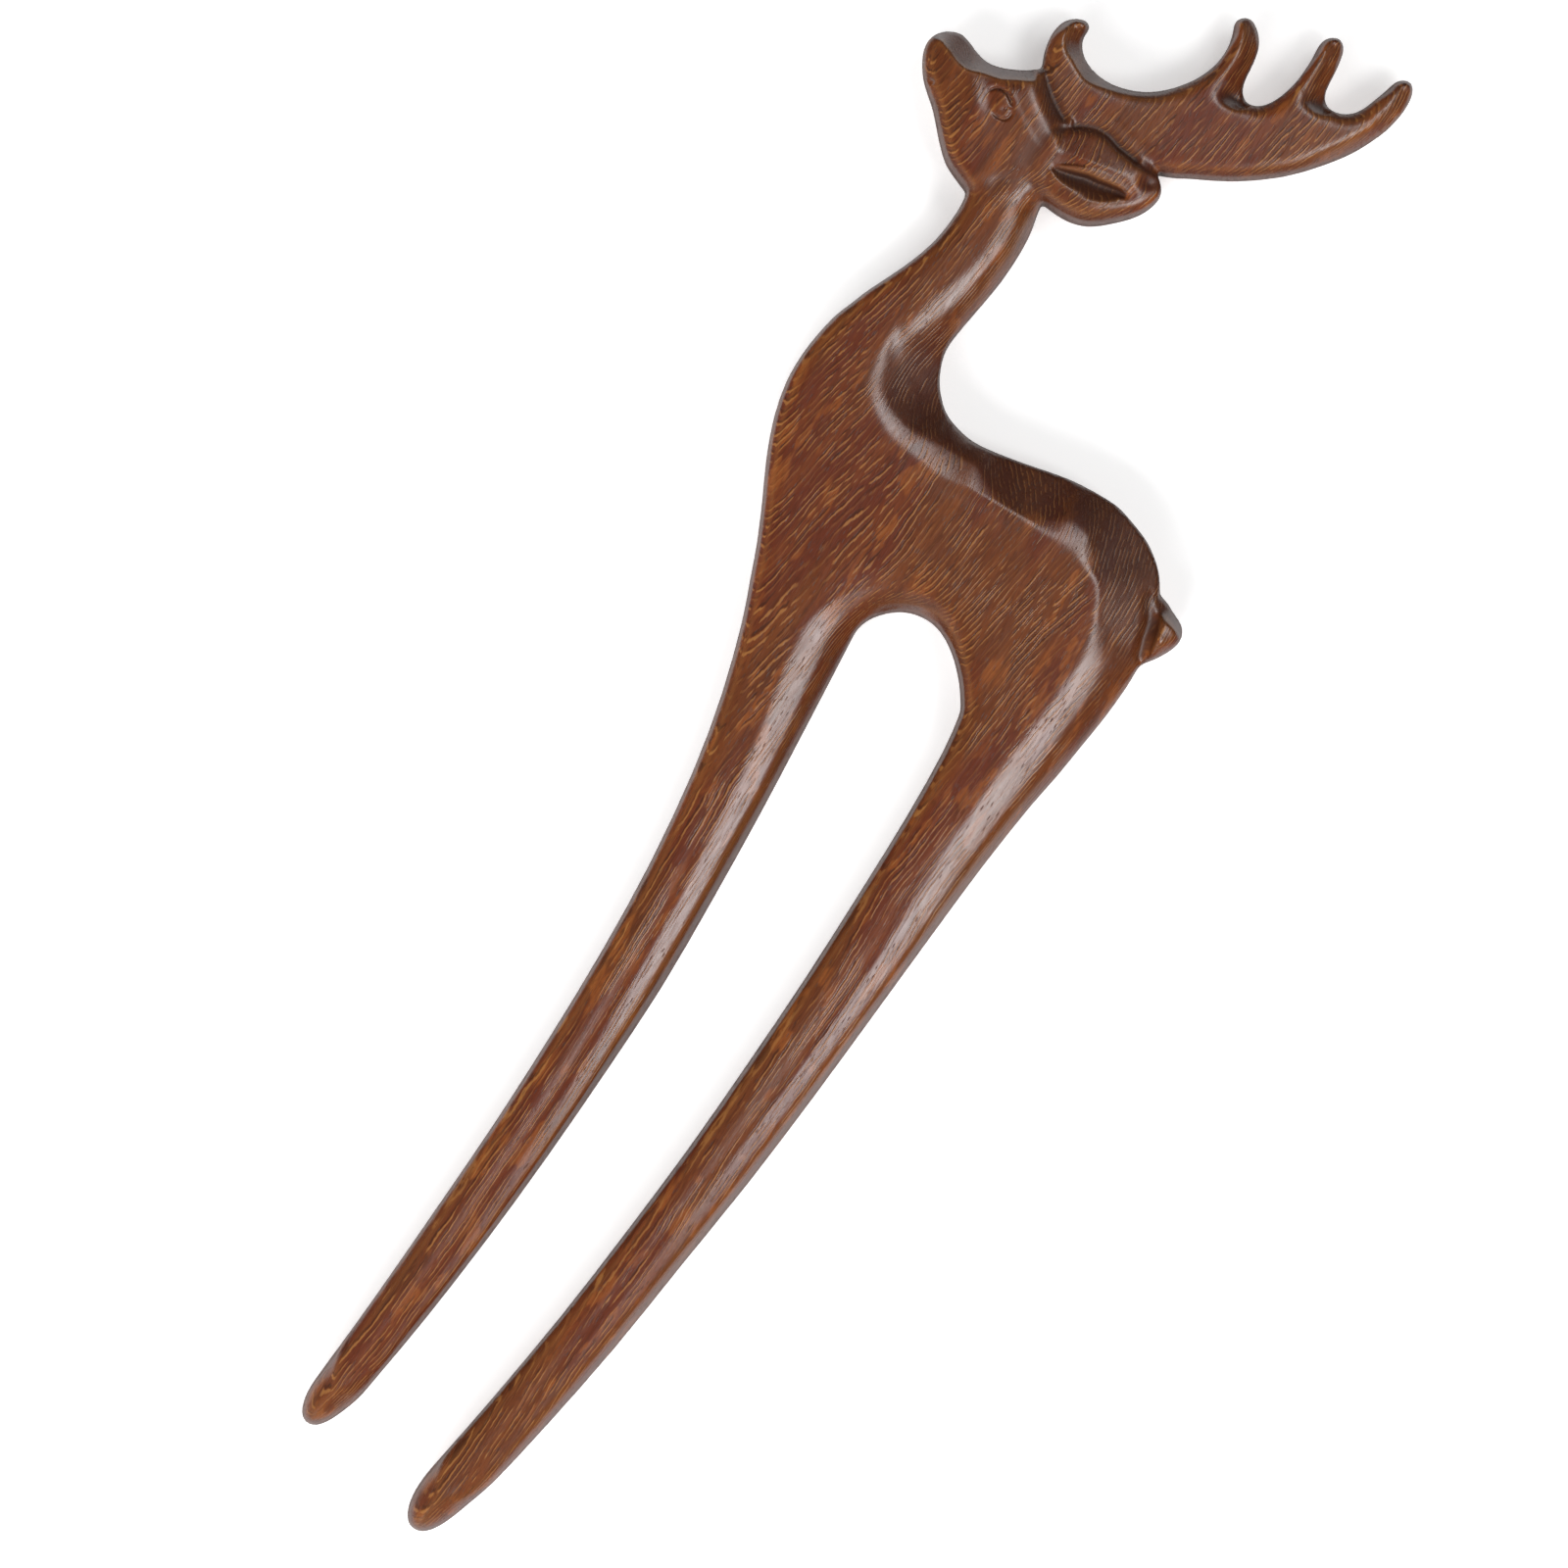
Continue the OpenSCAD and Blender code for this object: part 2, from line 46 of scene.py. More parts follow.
from mathutils import Matrix, Vector
from mathutils.kdtree import KDTree

MM = 0.001
NODE = "deer_fork"

# The photograph: size and centre in pixels, millimetres of a pixel, and how its axes lie in the frame

PHOTO_SIZE = 1600
PHOTO_CENTRE = PHOTO_SIZE / 2
PIXEL = 0.1
PHOTO_TURN = math.radians(32)
ANCHOR_PIXEL = (915, 622)
ANCHOR_PLACE = (0.9156, 16.1013)


def photo_place(px, py):
    """Place in the frame, in mm, of a pixel of the photograph."""
    u = (px - ANCHOR_PIXEL[0]) * PIXEL
    v = -(py - ANCHOR_PIXEL[1]) * PIXEL
    c, s = math.cos(PHOTO_TURN), math.sin(PHOTO_TURN)
    return ANCHOR_PLACE[0] + u * c - v * s, ANCHOR_PLACE[1] + u * s + v * c


PHOTO_UP = Vector((-math.sin(PHOTO_TURN), math.cos(PHOTO_TURN), 0))
PHOTO_RIGHT = Vector((math.cos(PHOTO_TURN), math.sin(PHOTO_TURN), 0))


# Height map of the upper half, read from the CAD node

STEP = 0.1
MARGIN = 1.5
BLUR_REACH = 3.5
NO_AREA = 1e-9
TINY = 1e-6
SECTION_HEIGHT = 1e-4


class Map:
    """A regular grid of heights over the plane, in mm."""

    def __init__(self, low, high):
        self.low = np.array(low, float)
        self.shape = tuple(int(math.ceil((h - l) / STEP)) + 1 for l, h in zip(low, high))
        self.x = self.low[0] + STEP * np.arange(self.shape[0])
        self.y = self.low[1] + STEP * np.arange(self.shape[1])

    def sample(self, values, x, y):
        """Values at any places, through a smooth cubic in each direction."""
        u = np.clip((x - self.low[0]) / STEP, 1, self.shape[0] - 3)
        v = np.clip((y - self.low[1]) / STEP, 1, self.shape[1] - 3)
        i, j = u.astype(int), v.astype(int)
        wx, wy = cubic_weights(u - i), cubic_weights(v - j)
        total = np.zeros_like(u)
        for a in range(4):
            for b in range(4):
                total += wx[a] * wy[b] * values[i + a - 1, j + b - 1]
        return total


def cubic_weights(t):
    """Weights of four neighbours for a Catmull-Rom cubic."""
    return (
        ((2 - t) * t - 1) * t / 2,
        ((3 * t - 5) * t * t + 2) / 2,
        ((4 - 3 * t) * t + 1) * t / 2,
        (t - 1) * t * t / 2,
    )


def bell(sigma, reach):
    """Weights of a Gaussian blur that add up to one."""
    weights = np.exp(-0.5 * (np.arange(-reach, reach + 1) / sigma) ** 2)
    return weights / weights.sum()


def blur(values, sigma_mm):
    """Gaussian blur of a map."""
    sigma = sigma_mm / STEP
    reach = int(math.ceil(BLUR_REACH * sigma))
    kernel = bell(sigma, reach)
    for axis in (0, 1):
        padded = np.pad(values, [(reach, reach) if a == axis else (0, 0) for a in (0, 1)], "edge")
        n = values.shape[axis]
        out = np.zeros_like(values)
        for k, w in enumerate(kernel):
            cut = [slice(None), slice(None)]
            cut[axis] = slice(k, k + n)
            out += w * padded[tuple(cut)]
        values = out
    return values


def smoothstep(a, b, t):
    """Zero before a, one after b, and a smooth rise between them; b may be the lower of the two."""
    s = np.clip((t - a) / (b - a), 0, 1)
    return s * s * (3 - 2 * s)


def vertex_places(mesh):
    """Places of a mesh's vertices, as rows."""
    points = np.empty(len(mesh.vertices) * 3, np.float32)
    mesh.vertices.foreach_get("co", points)
    return points.reshape(-1, 3).astype(float)


def triangle_corners(mesh):
    """Places of the three corners of each of a mesh's triangles."""
    mesh.calc_loop_triangles()
    corners = np.empty(len(mesh.loop_triangles) * 3, np.int32)
    mesh.loop_triangles.foreach_get("vertices", corners)
    return vertex_places(mesh)[corners.reshape(-1, 3)]


def cad_triangles():
    """Corners of the CAD node's triangles in mm, with height counted from the middle plane."""
    corners = triangle_corners(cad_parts[NODE].data) / MM
    middle = (corners[:, :, 2].min() + corners[:, :, 2].max()) / 2
    corners[:, :, 2] -= middle
    return corners, middle


def draw_heights(grid, triangles):
    """Highest point of the triangles over each place of the map, and minus one where there is none."""
    height = np.full(grid.shape, -1.0)
    for p in triangles:
        edge_a, edge_b = p[1] - p[0], p[2] - p[0]
        area = edge_a[0] * edge_b[1] - edge_a[1] * edge_b[0]
        if area < NO_AREA:
            continue
        first = np.floor((p[:, :2].min(0) - grid.low) / STEP).astype(int)
        last = np.ceil((p[:, :2].max(0) - grid.low) / STEP).astype(int) + 1
        dx = grid.x[first[0] : last[0], None] - p[0, 0]
        dy = grid.y[None, first[1] : last[1]] - p[0, 1]
        a = (dx * edge_b[1] - dy * edge_b[0]) / area
        b = (dy * edge_a[0] - dx * edge_a[1]) / area
        inside = (a >= -TINY) & (b >= -TINY) & (a + b <= 1 + TINY)
        view = height[first[0] : last[0], first[1] : last[1]]
        z = p[0, 2] + a * edge_a[2] + b * edge_b[2]
        np.copyto(view, np.maximum(view, z), where=inside)
    return height


def section(triangles):
    """Line pieces where the triangles cross the middle plane, as start and end points."""
    z = SECTION_HEIGHT
    starts, ends = [], []
    above = triangles[:, :, 2] > z
    crossing = triangles[(above.any(1)) & (~above.all(1))]
    for p in crossing:
        cut = []
        for k in range(3):
            a, b = p[k], p[(k + 1) % 3]
            if (a[2] > z) != (b[2] > z):
                t = (z - a[2]) / (b[2] - a[2])
                cut.append((a[:2] + t * (b[:2] - a[:2]), a[2] > z))
        cut.sort(key=lambda c: c[1])
        starts.append(cut[0][0])
        ends.append(cut[1][0])
    return np.array(starts), np.array(ends)


def outline_loop(starts, ends):
    """The longest closed loop through the line pieces."""

    def key(point):
        return round(point[0], 3), round(point[1], 3)

    def length(loop):
        return np.hypot(*(loop - np.roll(loop, 1, 0)).T).sum()

    following = {key(s): (key(e), e) for s, e in zip(starts, ends)}
    loops = []
    while following:
        here, (nxt, end) = following.popitem()
        loop = [end]
        while nxt in following:
            nxt, end = following.pop(nxt)
            loop.append(end)
        loops.append(np.array(loop))
    return max(loops, key=length)


def lengths_along(points):
    """How far along the points' line each of them lies."""
    return np.concatenate([[0], np.cumsum(np.hypot(*np.diff(points, axis=0).T))])


def even_points(loop, spacing):
    """The loop again, with points at even distances."""
    closed = np.vstack([loop, loop[:1]])
    along = lengths_along(closed)
    n = int(along[-1] / spacing)
    places = np.linspace(0, along[-1], n, endpoint=False)
    return np.stack([np.interp(places, along, closed[:, k]) for k in (0, 1)], 1)


def smooth_loop(loop, sigma):
    """The loop with its corners eased; sigma is counted in points."""
    reach = int(BLUR_REACH * sigma)
    return sum(w * np.roll(loop, k - reach, 0) for k, w in enumerate(bell(sigma, reach)))


def inside_mask(grid, loop):
    """Which places of the map lie inside the loop."""
    mask = np.zeros(grid.shape, bool)
    a, b = loop, np.roll(loop, -1, 0)
    low, high = np.minimum(a[:, 1], b[:, 1]), np.maximum(a[:, 1], b[:, 1])
    for j, y in enumerate(grid.y):
        hit = (low <= y) & (y < high)
        t = (y - a[hit, 1]) / (b[hit, 1] - a[hit, 1])
        xs = np.sort(a[hit, 0] + t * (b[hit, 0] - a[hit, 0]))
        for x0, x1 in zip(xs[::2], xs[1::2]):
            mask[(grid.x > x0) & (grid.x < x1), j] = True
    return mask


OUTLINE_STEP = 0.1
OUTLINE_SMOOTH = 0.45
FAR = 3.0
NEAR_BLUR = 0.3
NEAR_LEVEL = 0.002


def signed_distance(grid, loop, mask):
    """Distance to the loop, above zero inside; far outside it is minus FAR."""
    tree = KDTree(len(loop))
    for k, p in enumerate(loop):
        tree.insert((*p, 0), k)
    tree.balance()
    near = blur(mask.astype(float), NEAR_BLUR) > NEAR_LEVEL
    ii, jj = np.nonzero(near)
    px, py = grid.x[ii], grid.y[jj]
    nearest = np.array([tree.find((x, y, 0))[1] for x, y in zip(px, py)])
    p = np.stack([px, py], 1)
    best = np.full(len(p), np.inf)
    for shift in (-1, 0):
        a = loop[(nearest + shift) % len(loop)]
        b = loop[(nearest + shift + 1) % len(loop)]
        ab = b - a
        t = np.clip(((p - a) * ab).sum(1) / (ab * ab).sum(1), 0, 1)
        best = np.minimum(best, np.hypot(*(p - a - t[:, None] * ab).T))
    distance = np.full(grid.shape, -FAR)
    distance[ii, jj] = np.where(mask[ii, jj], best, -best)
    return distance


# Carving tools, each of which changes the height map around a line or a point of the photograph, and one that
# paints shade along a line

LINE_STEP = 0.15
KNOT_STEPS = 12


def eased_line(rows):
    """Points in mm at even distances along a smooth curve; columns after the pixel are eased too."""
    knots = np.array([photo_place(*row[:2]) + tuple(row[2:]) for row in rows])
    knots = np.vstack([2 * knots[0] - knots[1], knots, 2 * knots[-1] - knots[-2]])
    t = np.linspace(0, 1, KNOT_STEPS, endpoint=False)[:, None]
    parts = []
    for k in range(1, len(knots) - 2):
        parts.append(sum(w * knots[k + n - 1] for n, w in enumerate(cubic_weights(t))))
    points = np.vstack(parts + [knots[-2:-1]])
    along = lengths_along(points[:, :2])
    places = np.linspace(0, along[-1], int(along[-1] / LINE_STEP) + 2)
    return np.stack([np.interp(places, along, column) for column in points.T], 1)


def window(grid, low, high):
    """Slices of the map that hold a box in mm, and the places in them."""
    cut = []
    for k, axis in enumerate((grid.x, grid.y)):
        first = max(int((low[k] - axis[0]) / STEP), 0)
        last = min(int((high[k] - axis[0]) / STEP) + 2, len(axis))
        cut.append(slice(first, last))
    return tuple(cut), grid.x[cut[0], None], grid.y[None, cut[1]]


class Cut:
    """A curve over the map: how far each place near it is, on which side, and where along it."""

    def __init__(self, grid, pixels, reach):
        rows = eased_line(pixels)
        self.points, self.columns = rows[:, :2], rows[:, 2:]
        self.reach = reach
        self.where, x, y = window(grid, self.points.min(0) - reach, self.points.max(0) + reach)
        shape = np.broadcast(x, y).shape
        self.away = np.full(shape, np.inf)
        self.side = np.zeros(shape)
        self.along = np.zeros(shape)
        done = 0.0
        for a, b in zip(self.points[:-1], self.points[1:]):
            low, high = np.minimum(a, b) - reach, np.maximum(a, b) + reach
            near_x = slice(*np.searchsorted(x[:, 0], (low[0], high[0])))
            near_y = slice(*np.searchsorted(y[0], (low[1], high[1])))
            done += self.measure((near_x, near_y), x[near_x], y[:, near_y], a, b - a, done)
        self.length = done
        self.away = np.minimum(self.away, 2 * reach)
        self.signed = self.away * self.side

    def measure(self, here, x, y, a, d, done):
        """Take one straight piece into the maps where it is the nearest so far."""
        length = math.hypot(*d)
        t = np.clip(((x - a[0]) * d[0] + (y - a[1]) * d[1]) / length**2, 0, 1)
        ex, ey = x - a[0] - t * d[0], y - a[1] - t * d[1]
        away = np.hypot(ex, ey)
        near = away < self.away[here]
        self.away[here][near] = away[near]
        self.side[here][near] = np.sign(d[0] * ey - d[1] * ex)[near]
        self.along[here][near] = (done + t * length)[near]
        return length

    def fade(self, first, last):
        """Weight that rises over the first and falls over the last millimetres, and ends at the reach."""
        start = smoothstep(0, first, self.along)
        stop = smoothstep(0, last, self.length - self.along)
        return start * stop * smoothstep(self.reach, 0.8 * self.reach, self.away)

    def heights_along(self, grid, height, eased=0.6, beside=0.0):
        """Height of the map on the curve, or beside it to its left, brought to each place near it."""
        ahead = np.gradient(self.points, axis=0)
        ahead /= np.hypot(*ahead.T)[:, None]
        left = np.stack([-ahead[:, 1], ahead[:, 0]], 1)
        at = self.points + left * np.reshape(beside, (-1, 1))
        values = grid.sample(height, at[:, 0], at[:, 1])
        reach = int(eased / LINE_STEP) * 2 + 1
        kernel = np.hanning(reach + 2)[1:-1]
        kernel /= kernel.sum()
        values = np.convolve(np.pad(values, reach // 2, "edge"), kernel, "valid")
        return self.spread(values)

    def spread(self, values):
        """Values on the curve, brought to each place near it."""
        return np.interp(self.along, np.linspace(0, self.length, len(values)), values)


def groove(grid, height, pixels, width, depth, fade, taper=(1, 1), other=None):
    """A rounded groove, or with a negative depth a ridge; other is its width left of the curve."""
    cut = Cut(grid, pixels, 3 * max(width, other or 0))
    scale = taper[0] + (taper[1] - taper[0]) * cut.along / cut.length
    wide = np.where(cut.side > 0, other or width, width) * scale
    height[cut.where] -= depth * scale * cut.fade(*fade) * np.exp(-((cut.away / wide) ** 2))


def lower_of(a, b, ease):
    """The lower of two heights, with the corner between them eased."""
    return (a + b - np.sqrt((a - b) ** 2 + ease)) / 2


BEVEL_BLEND = (-1.0, -0.3)


def bevel(grid, height, distance, pixels, edge, fade, ease=0.02, reach=6.0):
    """A bevel left of a crisp curve, down to the given half thickness at the outline."""
    cut = Cut(grid, pixels, reach)
    line = cut.heights_along(grid, height)
    outward = cut.signed
    depth = np.maximum(distance[cut.where], 0)
    share = depth / (depth + np.maximum(outward, 0) + TINY)
    plane = edge + (line - edge) * share + np.maximum(-outward, 0)
    here = height[cut.where]
    weight = cut.fade(*fade) * smoothstep(*BEVEL_BLEND, outward)
    here += weight * (lower_of(here, plane, ease) - here)


# How the slope grows over the gloss and past it, where the top is read, and the usual slope and painted shade
GLOSS_TURN = 0.13
DARK_TURN = 0.20
TOP_EASED = 2.5
TOP_FROM_RIDGE = 0.9
RIDGE_EASE = 0.004
USUAL_BAND = (0.19, 0.1)
RIDGE_BLEND = (-1.2, 0.2)
OUTLINE_BLEND = (-1.0, -0.4)


def roll(grid, height, rows, painted_shade, fade, reach=9.5):
    """A band between the outline and a ridge inside it: a strip that takes the gloss, then a rounded fall.

    Rows follow the outline with the wood on their right: a pixel, how far in the ridge lies, the width of the
    gloss, the half thickness at the outline, and where they aren't the usual ones the slope where the band
    starts and the painted shade past the gloss, which makes the wood there darker and the fall steeper.
    """
    cut = Cut(grid, [row + USUAL_BAND[len(row) - 5 :] for row in rows], reach)
    top = cut.heights_along(grid, height, TOP_EASED, -(cut.columns[:, 0] + TOP_FROM_RIDGE))
    inside, gloss, edge, slope, dark = (cut.spread(column) for column in cut.columns.T)
    depth = -cut.signed
    past = np.minimum(inside - depth, inside)
    bent = np.clip(past, 0, gloss)
    beyond = np.maximum(past - gloss, 0)
    rest = top - edge - (slope + GLOSS_TURN / 2) * gloss
    steeper = np.minimum(slope + GLOSS_TURN + DARK_TURN * dark, rest / (inside - gloss))
    drop = slope * bent + GLOSS_TURN / 2 * bent**2 / gloss + steeper * beyond
    share = beyond / (inside - gloss)
    drop += (rest - steeper * (inside - gloss)) * share**2
    shape = lower_of(top, top - drop + slope * np.maximum(-past, 0), RIDGE_EASE)
    here = height[cut.where]
    weight = cut.fade(*fade) * smoothstep(*OUTLINE_BLEND, depth)
    here += weight * smoothstep(*RIDGE_BLEND, past) * (shape - here)
    # Painted shade on the wood past the gloss, kept in its own map
    darker = weight * dark * smoothstep(0.7 * gloss - 0.2, 1.1 * gloss + 0.5, past)
    painted_shade[cut.where] = np.maximum(painted_shade[cut.where], darker)


FLAT_EASE = 0.002


def slope_from(grid, height, pixels, side, start, slope, ease, fade, reach, behind=0.0):
    """Lower the surface to a slope that starts at a curve; behind is the slope on the curve's other side.

    Side is 1 where the slope lies left of the curve and -1 where it lies right of it.
    """
    cut = Cut(grid, pixels, reach)
    out = cut.signed * side
    plane = start + slope * np.maximum(out, 0) + behind * np.maximum(-out, 0)
    here = height[cut.where]
    eased = ease * smoothstep(0, 1.0, out) + FLAT_EASE
    here += cut.fade(*fade) * (lower_of(here, plane, eased) - here)


LEAF_POWER = 0.6
LEAF_SPARE = 0.05
LEAF_FLOOR = 0.3
LEAF_ENDS = (0.3, 0.3)


def leaf_cut(grid, height, pixels, depth, wall, width):
    """A leaf-shaped hollow right of a curve: a steep wall, the deepest place, and a gentle rise beyond."""
    cut = Cut(grid, pixels, width + 1)
    inward = -cut.signed
    share = np.clip(cut.along / cut.length, 0, 1)
    leaf = np.sin(math.pi * share) ** LEAF_POWER
    wide = np.maximum(width * leaf, wall + LEAF_SPARE)
    shape = smoothstep(-wall / 2, wall / 2, inward) * smoothstep(wide, LEAF_FLOOR * wall, inward)
    height[cut.where] -= depth * leaf * cut.fade(*LEAF_ENDS) * shape


def window_around(grid, pixel, reach):
    """Slices of the map around a pixel, and the distances from it in x and in y."""
    x0, y0 = photo_place(*pixel)
    where, x, y = window(grid, (x0 - reach, y0 - reach), (x0 + reach, y0 + reach))
    return where, x - x0, y - y0


def turned_window(grid, pixel, reach, angle):
    """The same, but with distances along axes turned by the angle from photo right and photo up."""
    where, x, y = window_around(grid, pixel, reach)
    turn = PHOTO_TURN + math.radians(angle)
    u = x * math.cos(turn) + y * math.sin(turn)
    v = y * math.cos(turn) - x * math.sin(turn)
    return where, u, v


def dome(grid, height, pixel, radii, angle, rise):
    """A soft bump, or with a negative rise a dent; the angle turns its long side from photo right."""
    where, u, v = turned_window(grid, pixel, 3 * max(radii), angle)
    height[where] += rise * np.exp(-((u / radii[0]) ** 2) - (v / radii[1]) ** 2)


def soften(grid, height, pixel, radius, sigma):
    """Take the CAD's own small forms out of a round place before finer ones are carved."""
    where, x, y = window_around(grid, pixel, radius * 1.5 + 4 * sigma)
    weight = smoothstep(radius * 1.4, radius * 0.8, np.hypot(x, y))
    here = height[where]
    here += weight * (blur(here, sigma) - here)


def paint_shade_along(grid, painted_shade, pixels, width, amount, fade=(0.8, 0.8)):
    """Painted shade along a curve: darker, duller wood there."""
    cut = Cut(grid, pixels, 3 * width)
    mark = amount * cut.fade(*fade) * np.exp(-((cut.away / width) ** 2))
    painted_shade[cut.where] = np.maximum(painted_shade[cut.where], mark)


PATCH_WINDOW = 1.6
PATCH_RING = (1.0, 1.5)
PATCH_BLEND = (1.1, 0.9)


def patch(grid, height, pixel, radii, angle):
    """Close a small hollow of the CAD with the curved surface that fits the heights around it."""
    where, u, v = turned_window(grid, pixel, PATCH_WINDOW * max(radii), angle)
    away = np.hypot(u / radii[0], v / radii[1])
    terms = np.stack([np.ones_like(u), u, v, u * u, u * v, v * v], -1)
    ring = (away > PATCH_RING[0]) & (away < PATCH_RING[1])
    here = height[where]
    fit = np.linalg.lstsq(terms[ring], here[ring], rcond=None)[0]
    here += smoothstep(*PATCH_BLEND, away) * (terms @ fit - here)


# Carved lines and places as pixels of the photograph; roll says what its longer rows hold

BACK_EDGE = (
    (1059, 221, 3.2, 1.4, 1.6), (1052, 235, 3.2, 1.4, 1.4), (1039, 262, 3.3, 1.4, 1.4),
    (1022, 286, 3.4, 1.4, 1.4), (1004, 310, 3.8, 1.6, 1.4), (984, 333, 4.2, 1.8, 1.4, 0.19, 0.2),
    (970, 355, 5.1, 1.6, 1.4, 0.2, 0.5), (962, 375, 6.6, 1.3, 1.1, 0.18, 0.7),
    (959, 396, 7.3, 1.4, 1.0, 0.18, 0.7), (962, 414, 6.7, 2.0, 1.0, 0.18, 0.7),
    (970, 429, 5.8, 2.6, 1.1, 0.17, 0.7), (980, 440, 5.3, 2.8, 1.2, 0.19, 0.6),
    (991, 449, 5.1, 2.8, 1.2, 0.19, 0.6), (1006, 457, 4.8, 2.4, 1.4, 0.2, 0.6),
    (1020, 463, 4.9, 1.4, 1.3, 0.28, 0.6), (1040, 470, 5.2, 0.4, 1.3, 0.4, 0.6),
    (1062, 478, 5.6, 0.4, 1.3, 0.38, 0.6), (1088, 489, 6.2, 1.6, 1.2, 0.24, 0.6),
    (1104, 496, 6.5, 2.6, 1.2, 0.17, 0.7), (1120, 505, 6.7, 2.8, 1.2, 0.15, 0.8),
    (1140, 518, 6.8, 2.2, 1.2, 0.16, 0.8), (1160, 540, 6.8, 1.2, 1.2, 0.26, 0.8),
    (1174, 565, 6.6, 0.5, 1.2, 0.34, 0.7), (1180, 590, 6.4, 0.5, 1.5, 0.32, 0.6),
    (1180, 612, 6.3, 0.5, 1.7, 0.32, 0.5), (1174, 640, 6.0, 0.6, 1.9, 0.3, 0.4),
    (1166, 665, 5.8, 1.2, 1.9, 0.22, 0.2), (1157, 687, 5.7, 1.9, 1.7, 0.18, 0.1),
    (1147, 705, 5.6, 2.2, 1.3), (1129, 729, 5.5, 2.7, 1.3), (1111, 753, 5.4, 2.7, 1.3),
    (1072, 799, 5.1, 2.9, 1.3), (1034, 845, 4.7, 2.9, 1.3), (997, 892, 4.4, 2.8, 1.3),
    (961, 940, 3.9, 2.6, 1.3), (926, 989, 3.5, 2.3, 1.3), (891, 1037, 3.2, 2.0, 1.3),
    (837, 1110, 3.1, 1.9, 1.2), (783, 1182, 3.1, 1.8, 1.2), (727, 1252, 2.9, 1.7, 1.2),
    (671, 1322, 2.9, 1.5, 1.1), (613, 1392, 2.7, 1.3, 1.1), (554, 1459, 2.3, 1.0, 1.0),
    (513, 1503, 2.0, 0.9, 1.0, 0.22, 0.1), (484, 1533, 1.9, 0.6, 1.2, 0.26, 0.1),
)
FRONT_LEG_EDGE = (
    (925, 618, 1.6, 0.6, 2.2, 0.2, 0), (904, 622, 2.4, 0.9, 1.8, 0.2, 0), (883, 638, 4.0, 1.8, 1.5),
    (865, 660, 4.9, 2.6, 1.3), (851, 687, 4.9, 2.8, 1.3), (837, 714, 4.7, 2.8, 1.3),
    (810, 767, 4.2, 2.6, 1.3), (782, 820, 3.8, 2.4, 1.3), (753, 872, 3.6, 2.2, 1.3),
    (723, 925, 3.2, 2.0, 1.3), (693, 977, 3.1, 1.9, 1.3), (662, 1028, 2.9, 1.8, 1.2),
    (629, 1078, 2.7, 1.7, 1.2), (595, 1128, 2.4, 1.6, 1.2), (561, 1177, 2.3, 1.5, 1.2),
    (526, 1226, 2.2, 1.4, 1.1), (490, 1274, 1.9, 1.2, 1.1), (454, 1321, 1.8, 1.0, 1.1),
    (416, 1368, 1.7, 0.9, 1.0, 0.2, 0.1), (397, 1391, 1.5, 0.8, 1.0, 0.22, 0.1),
    (372, 1419, 1.4, 0.6, 1.2, 0.26, 0.1),
)
CHEST_VALLEY = ((926, 322), (920, 336), (915, 350), (910, 364), (908, 378))
MUZZLE_EDGE = (
    (944, 36), (951.7, 39.8), (958.7, 43.6), (963.8, 50), (968.3, 57), (974, 64.6), (979.1, 70.4),
    (984.8, 74.2), (989.9, 76.1), (1001.4, 78), (1019.3, 83.8), (1035.9, 85), (1052.4, 86.3), (1062, 84),
)
NOSTRIL = ((949.8, 82.5), (950.2, 86), (951.3, 90))
UPPER_LID = (
    (1006, 99), (1008, 96.5), (1012.9, 94), (1018, 93.3), (1024.4, 96.5), (1028.9, 102.9),
    (1031.4, 109.3), (1032, 115),
)
LOWER_LID = (
    (1032, 115), (1030.1, 121.5), (1024.4, 125.2), (1018, 123.3), (1012.9, 119.5), (1009.7, 114.4),
)
EYE_LINE = ((1018.5, 115.5), (1025, 114), (1032, 115))
SKULL_FOOT = ((1064, 68), (1067, 84), (1071, 98), (1077, 112), (1084, 124), (1092, 133))
EAR_FOOT = (
    (1092, 133), (1106, 132), (1117, 134), (1126, 139), (1132, 144), (1140, 153), (1148, 159), (1163, 171),
)
EAR_RIM = ((1074, 164), (1088, 165), (1104, 168), (1120, 174), (1136, 183), (1150, 194))
JAW_HOLLOW = ((1084, 132), (1070, 138), (1060, 148), (1053, 160), (1047, 174), (1042, 188))
JAW_CREASE = ((1001.4, 198.6), (1019.3, 187.8), (1034.6, 186.5), (1052.4, 191.9), (1061.4, 203.7))
EAR_ROOF = (
    (1070, 139), (1076, 136.6), (1082.5, 133.9), (1095.6, 131.8), (1106.4, 132.3), (1117.2, 133.9),
    (1125.9, 138.8), (1132.4, 144.2), (1140, 152.9), (1147.6, 159.4), (1154.1, 164.8), (1162.8, 171.3),
    (1169.3, 175.7), (1180, 181),
)
EAR_SLIT = (
    (1071.7, 172.4), (1082.5, 175.7), (1095.6, 178.9), (1108.6, 182.2), (1119.4, 187.1), (1130.3, 191.4),
    (1138.9, 195.2), (1145.4, 199.5), (1149.8, 204.9),
)
SLIT_FLOOR = ((1078, 180), (1092, 186), (1106, 192), (1120, 197), (1134, 201), (1146, 205))
EAR_TIP = ((1160, 178), (1170, 184), (1178, 190), (1181, 197))
BROW_TINE_RIDGE = (
    (1096, 21), (1094, 24.2), (1088.4, 33.7), (1084.5, 44), (1086.7, 55.7), (1092.5, 64.5), (1098.4, 74.8),
    (1105.7, 83.6), (1113.1, 88.7),
)
BEAM_BEVEL = (
    (1098.4, 74.8), (1105.7, 83.6), (1113.1, 88.7), (1132, 93.9), (1152.7, 97.5), (1176, 98.3),
    (1190.8, 95.3), (1205.5, 88), (1222, 78), (1238, 62),
)
SECOND_TINE_RIDGE = (
    (1266, 20), (1267.5, 30), (1266.5, 44), (1263, 56.5), (1255.5, 70), (1248, 80.5), (1239, 89),
    (1232, 100), (1229, 108),
)
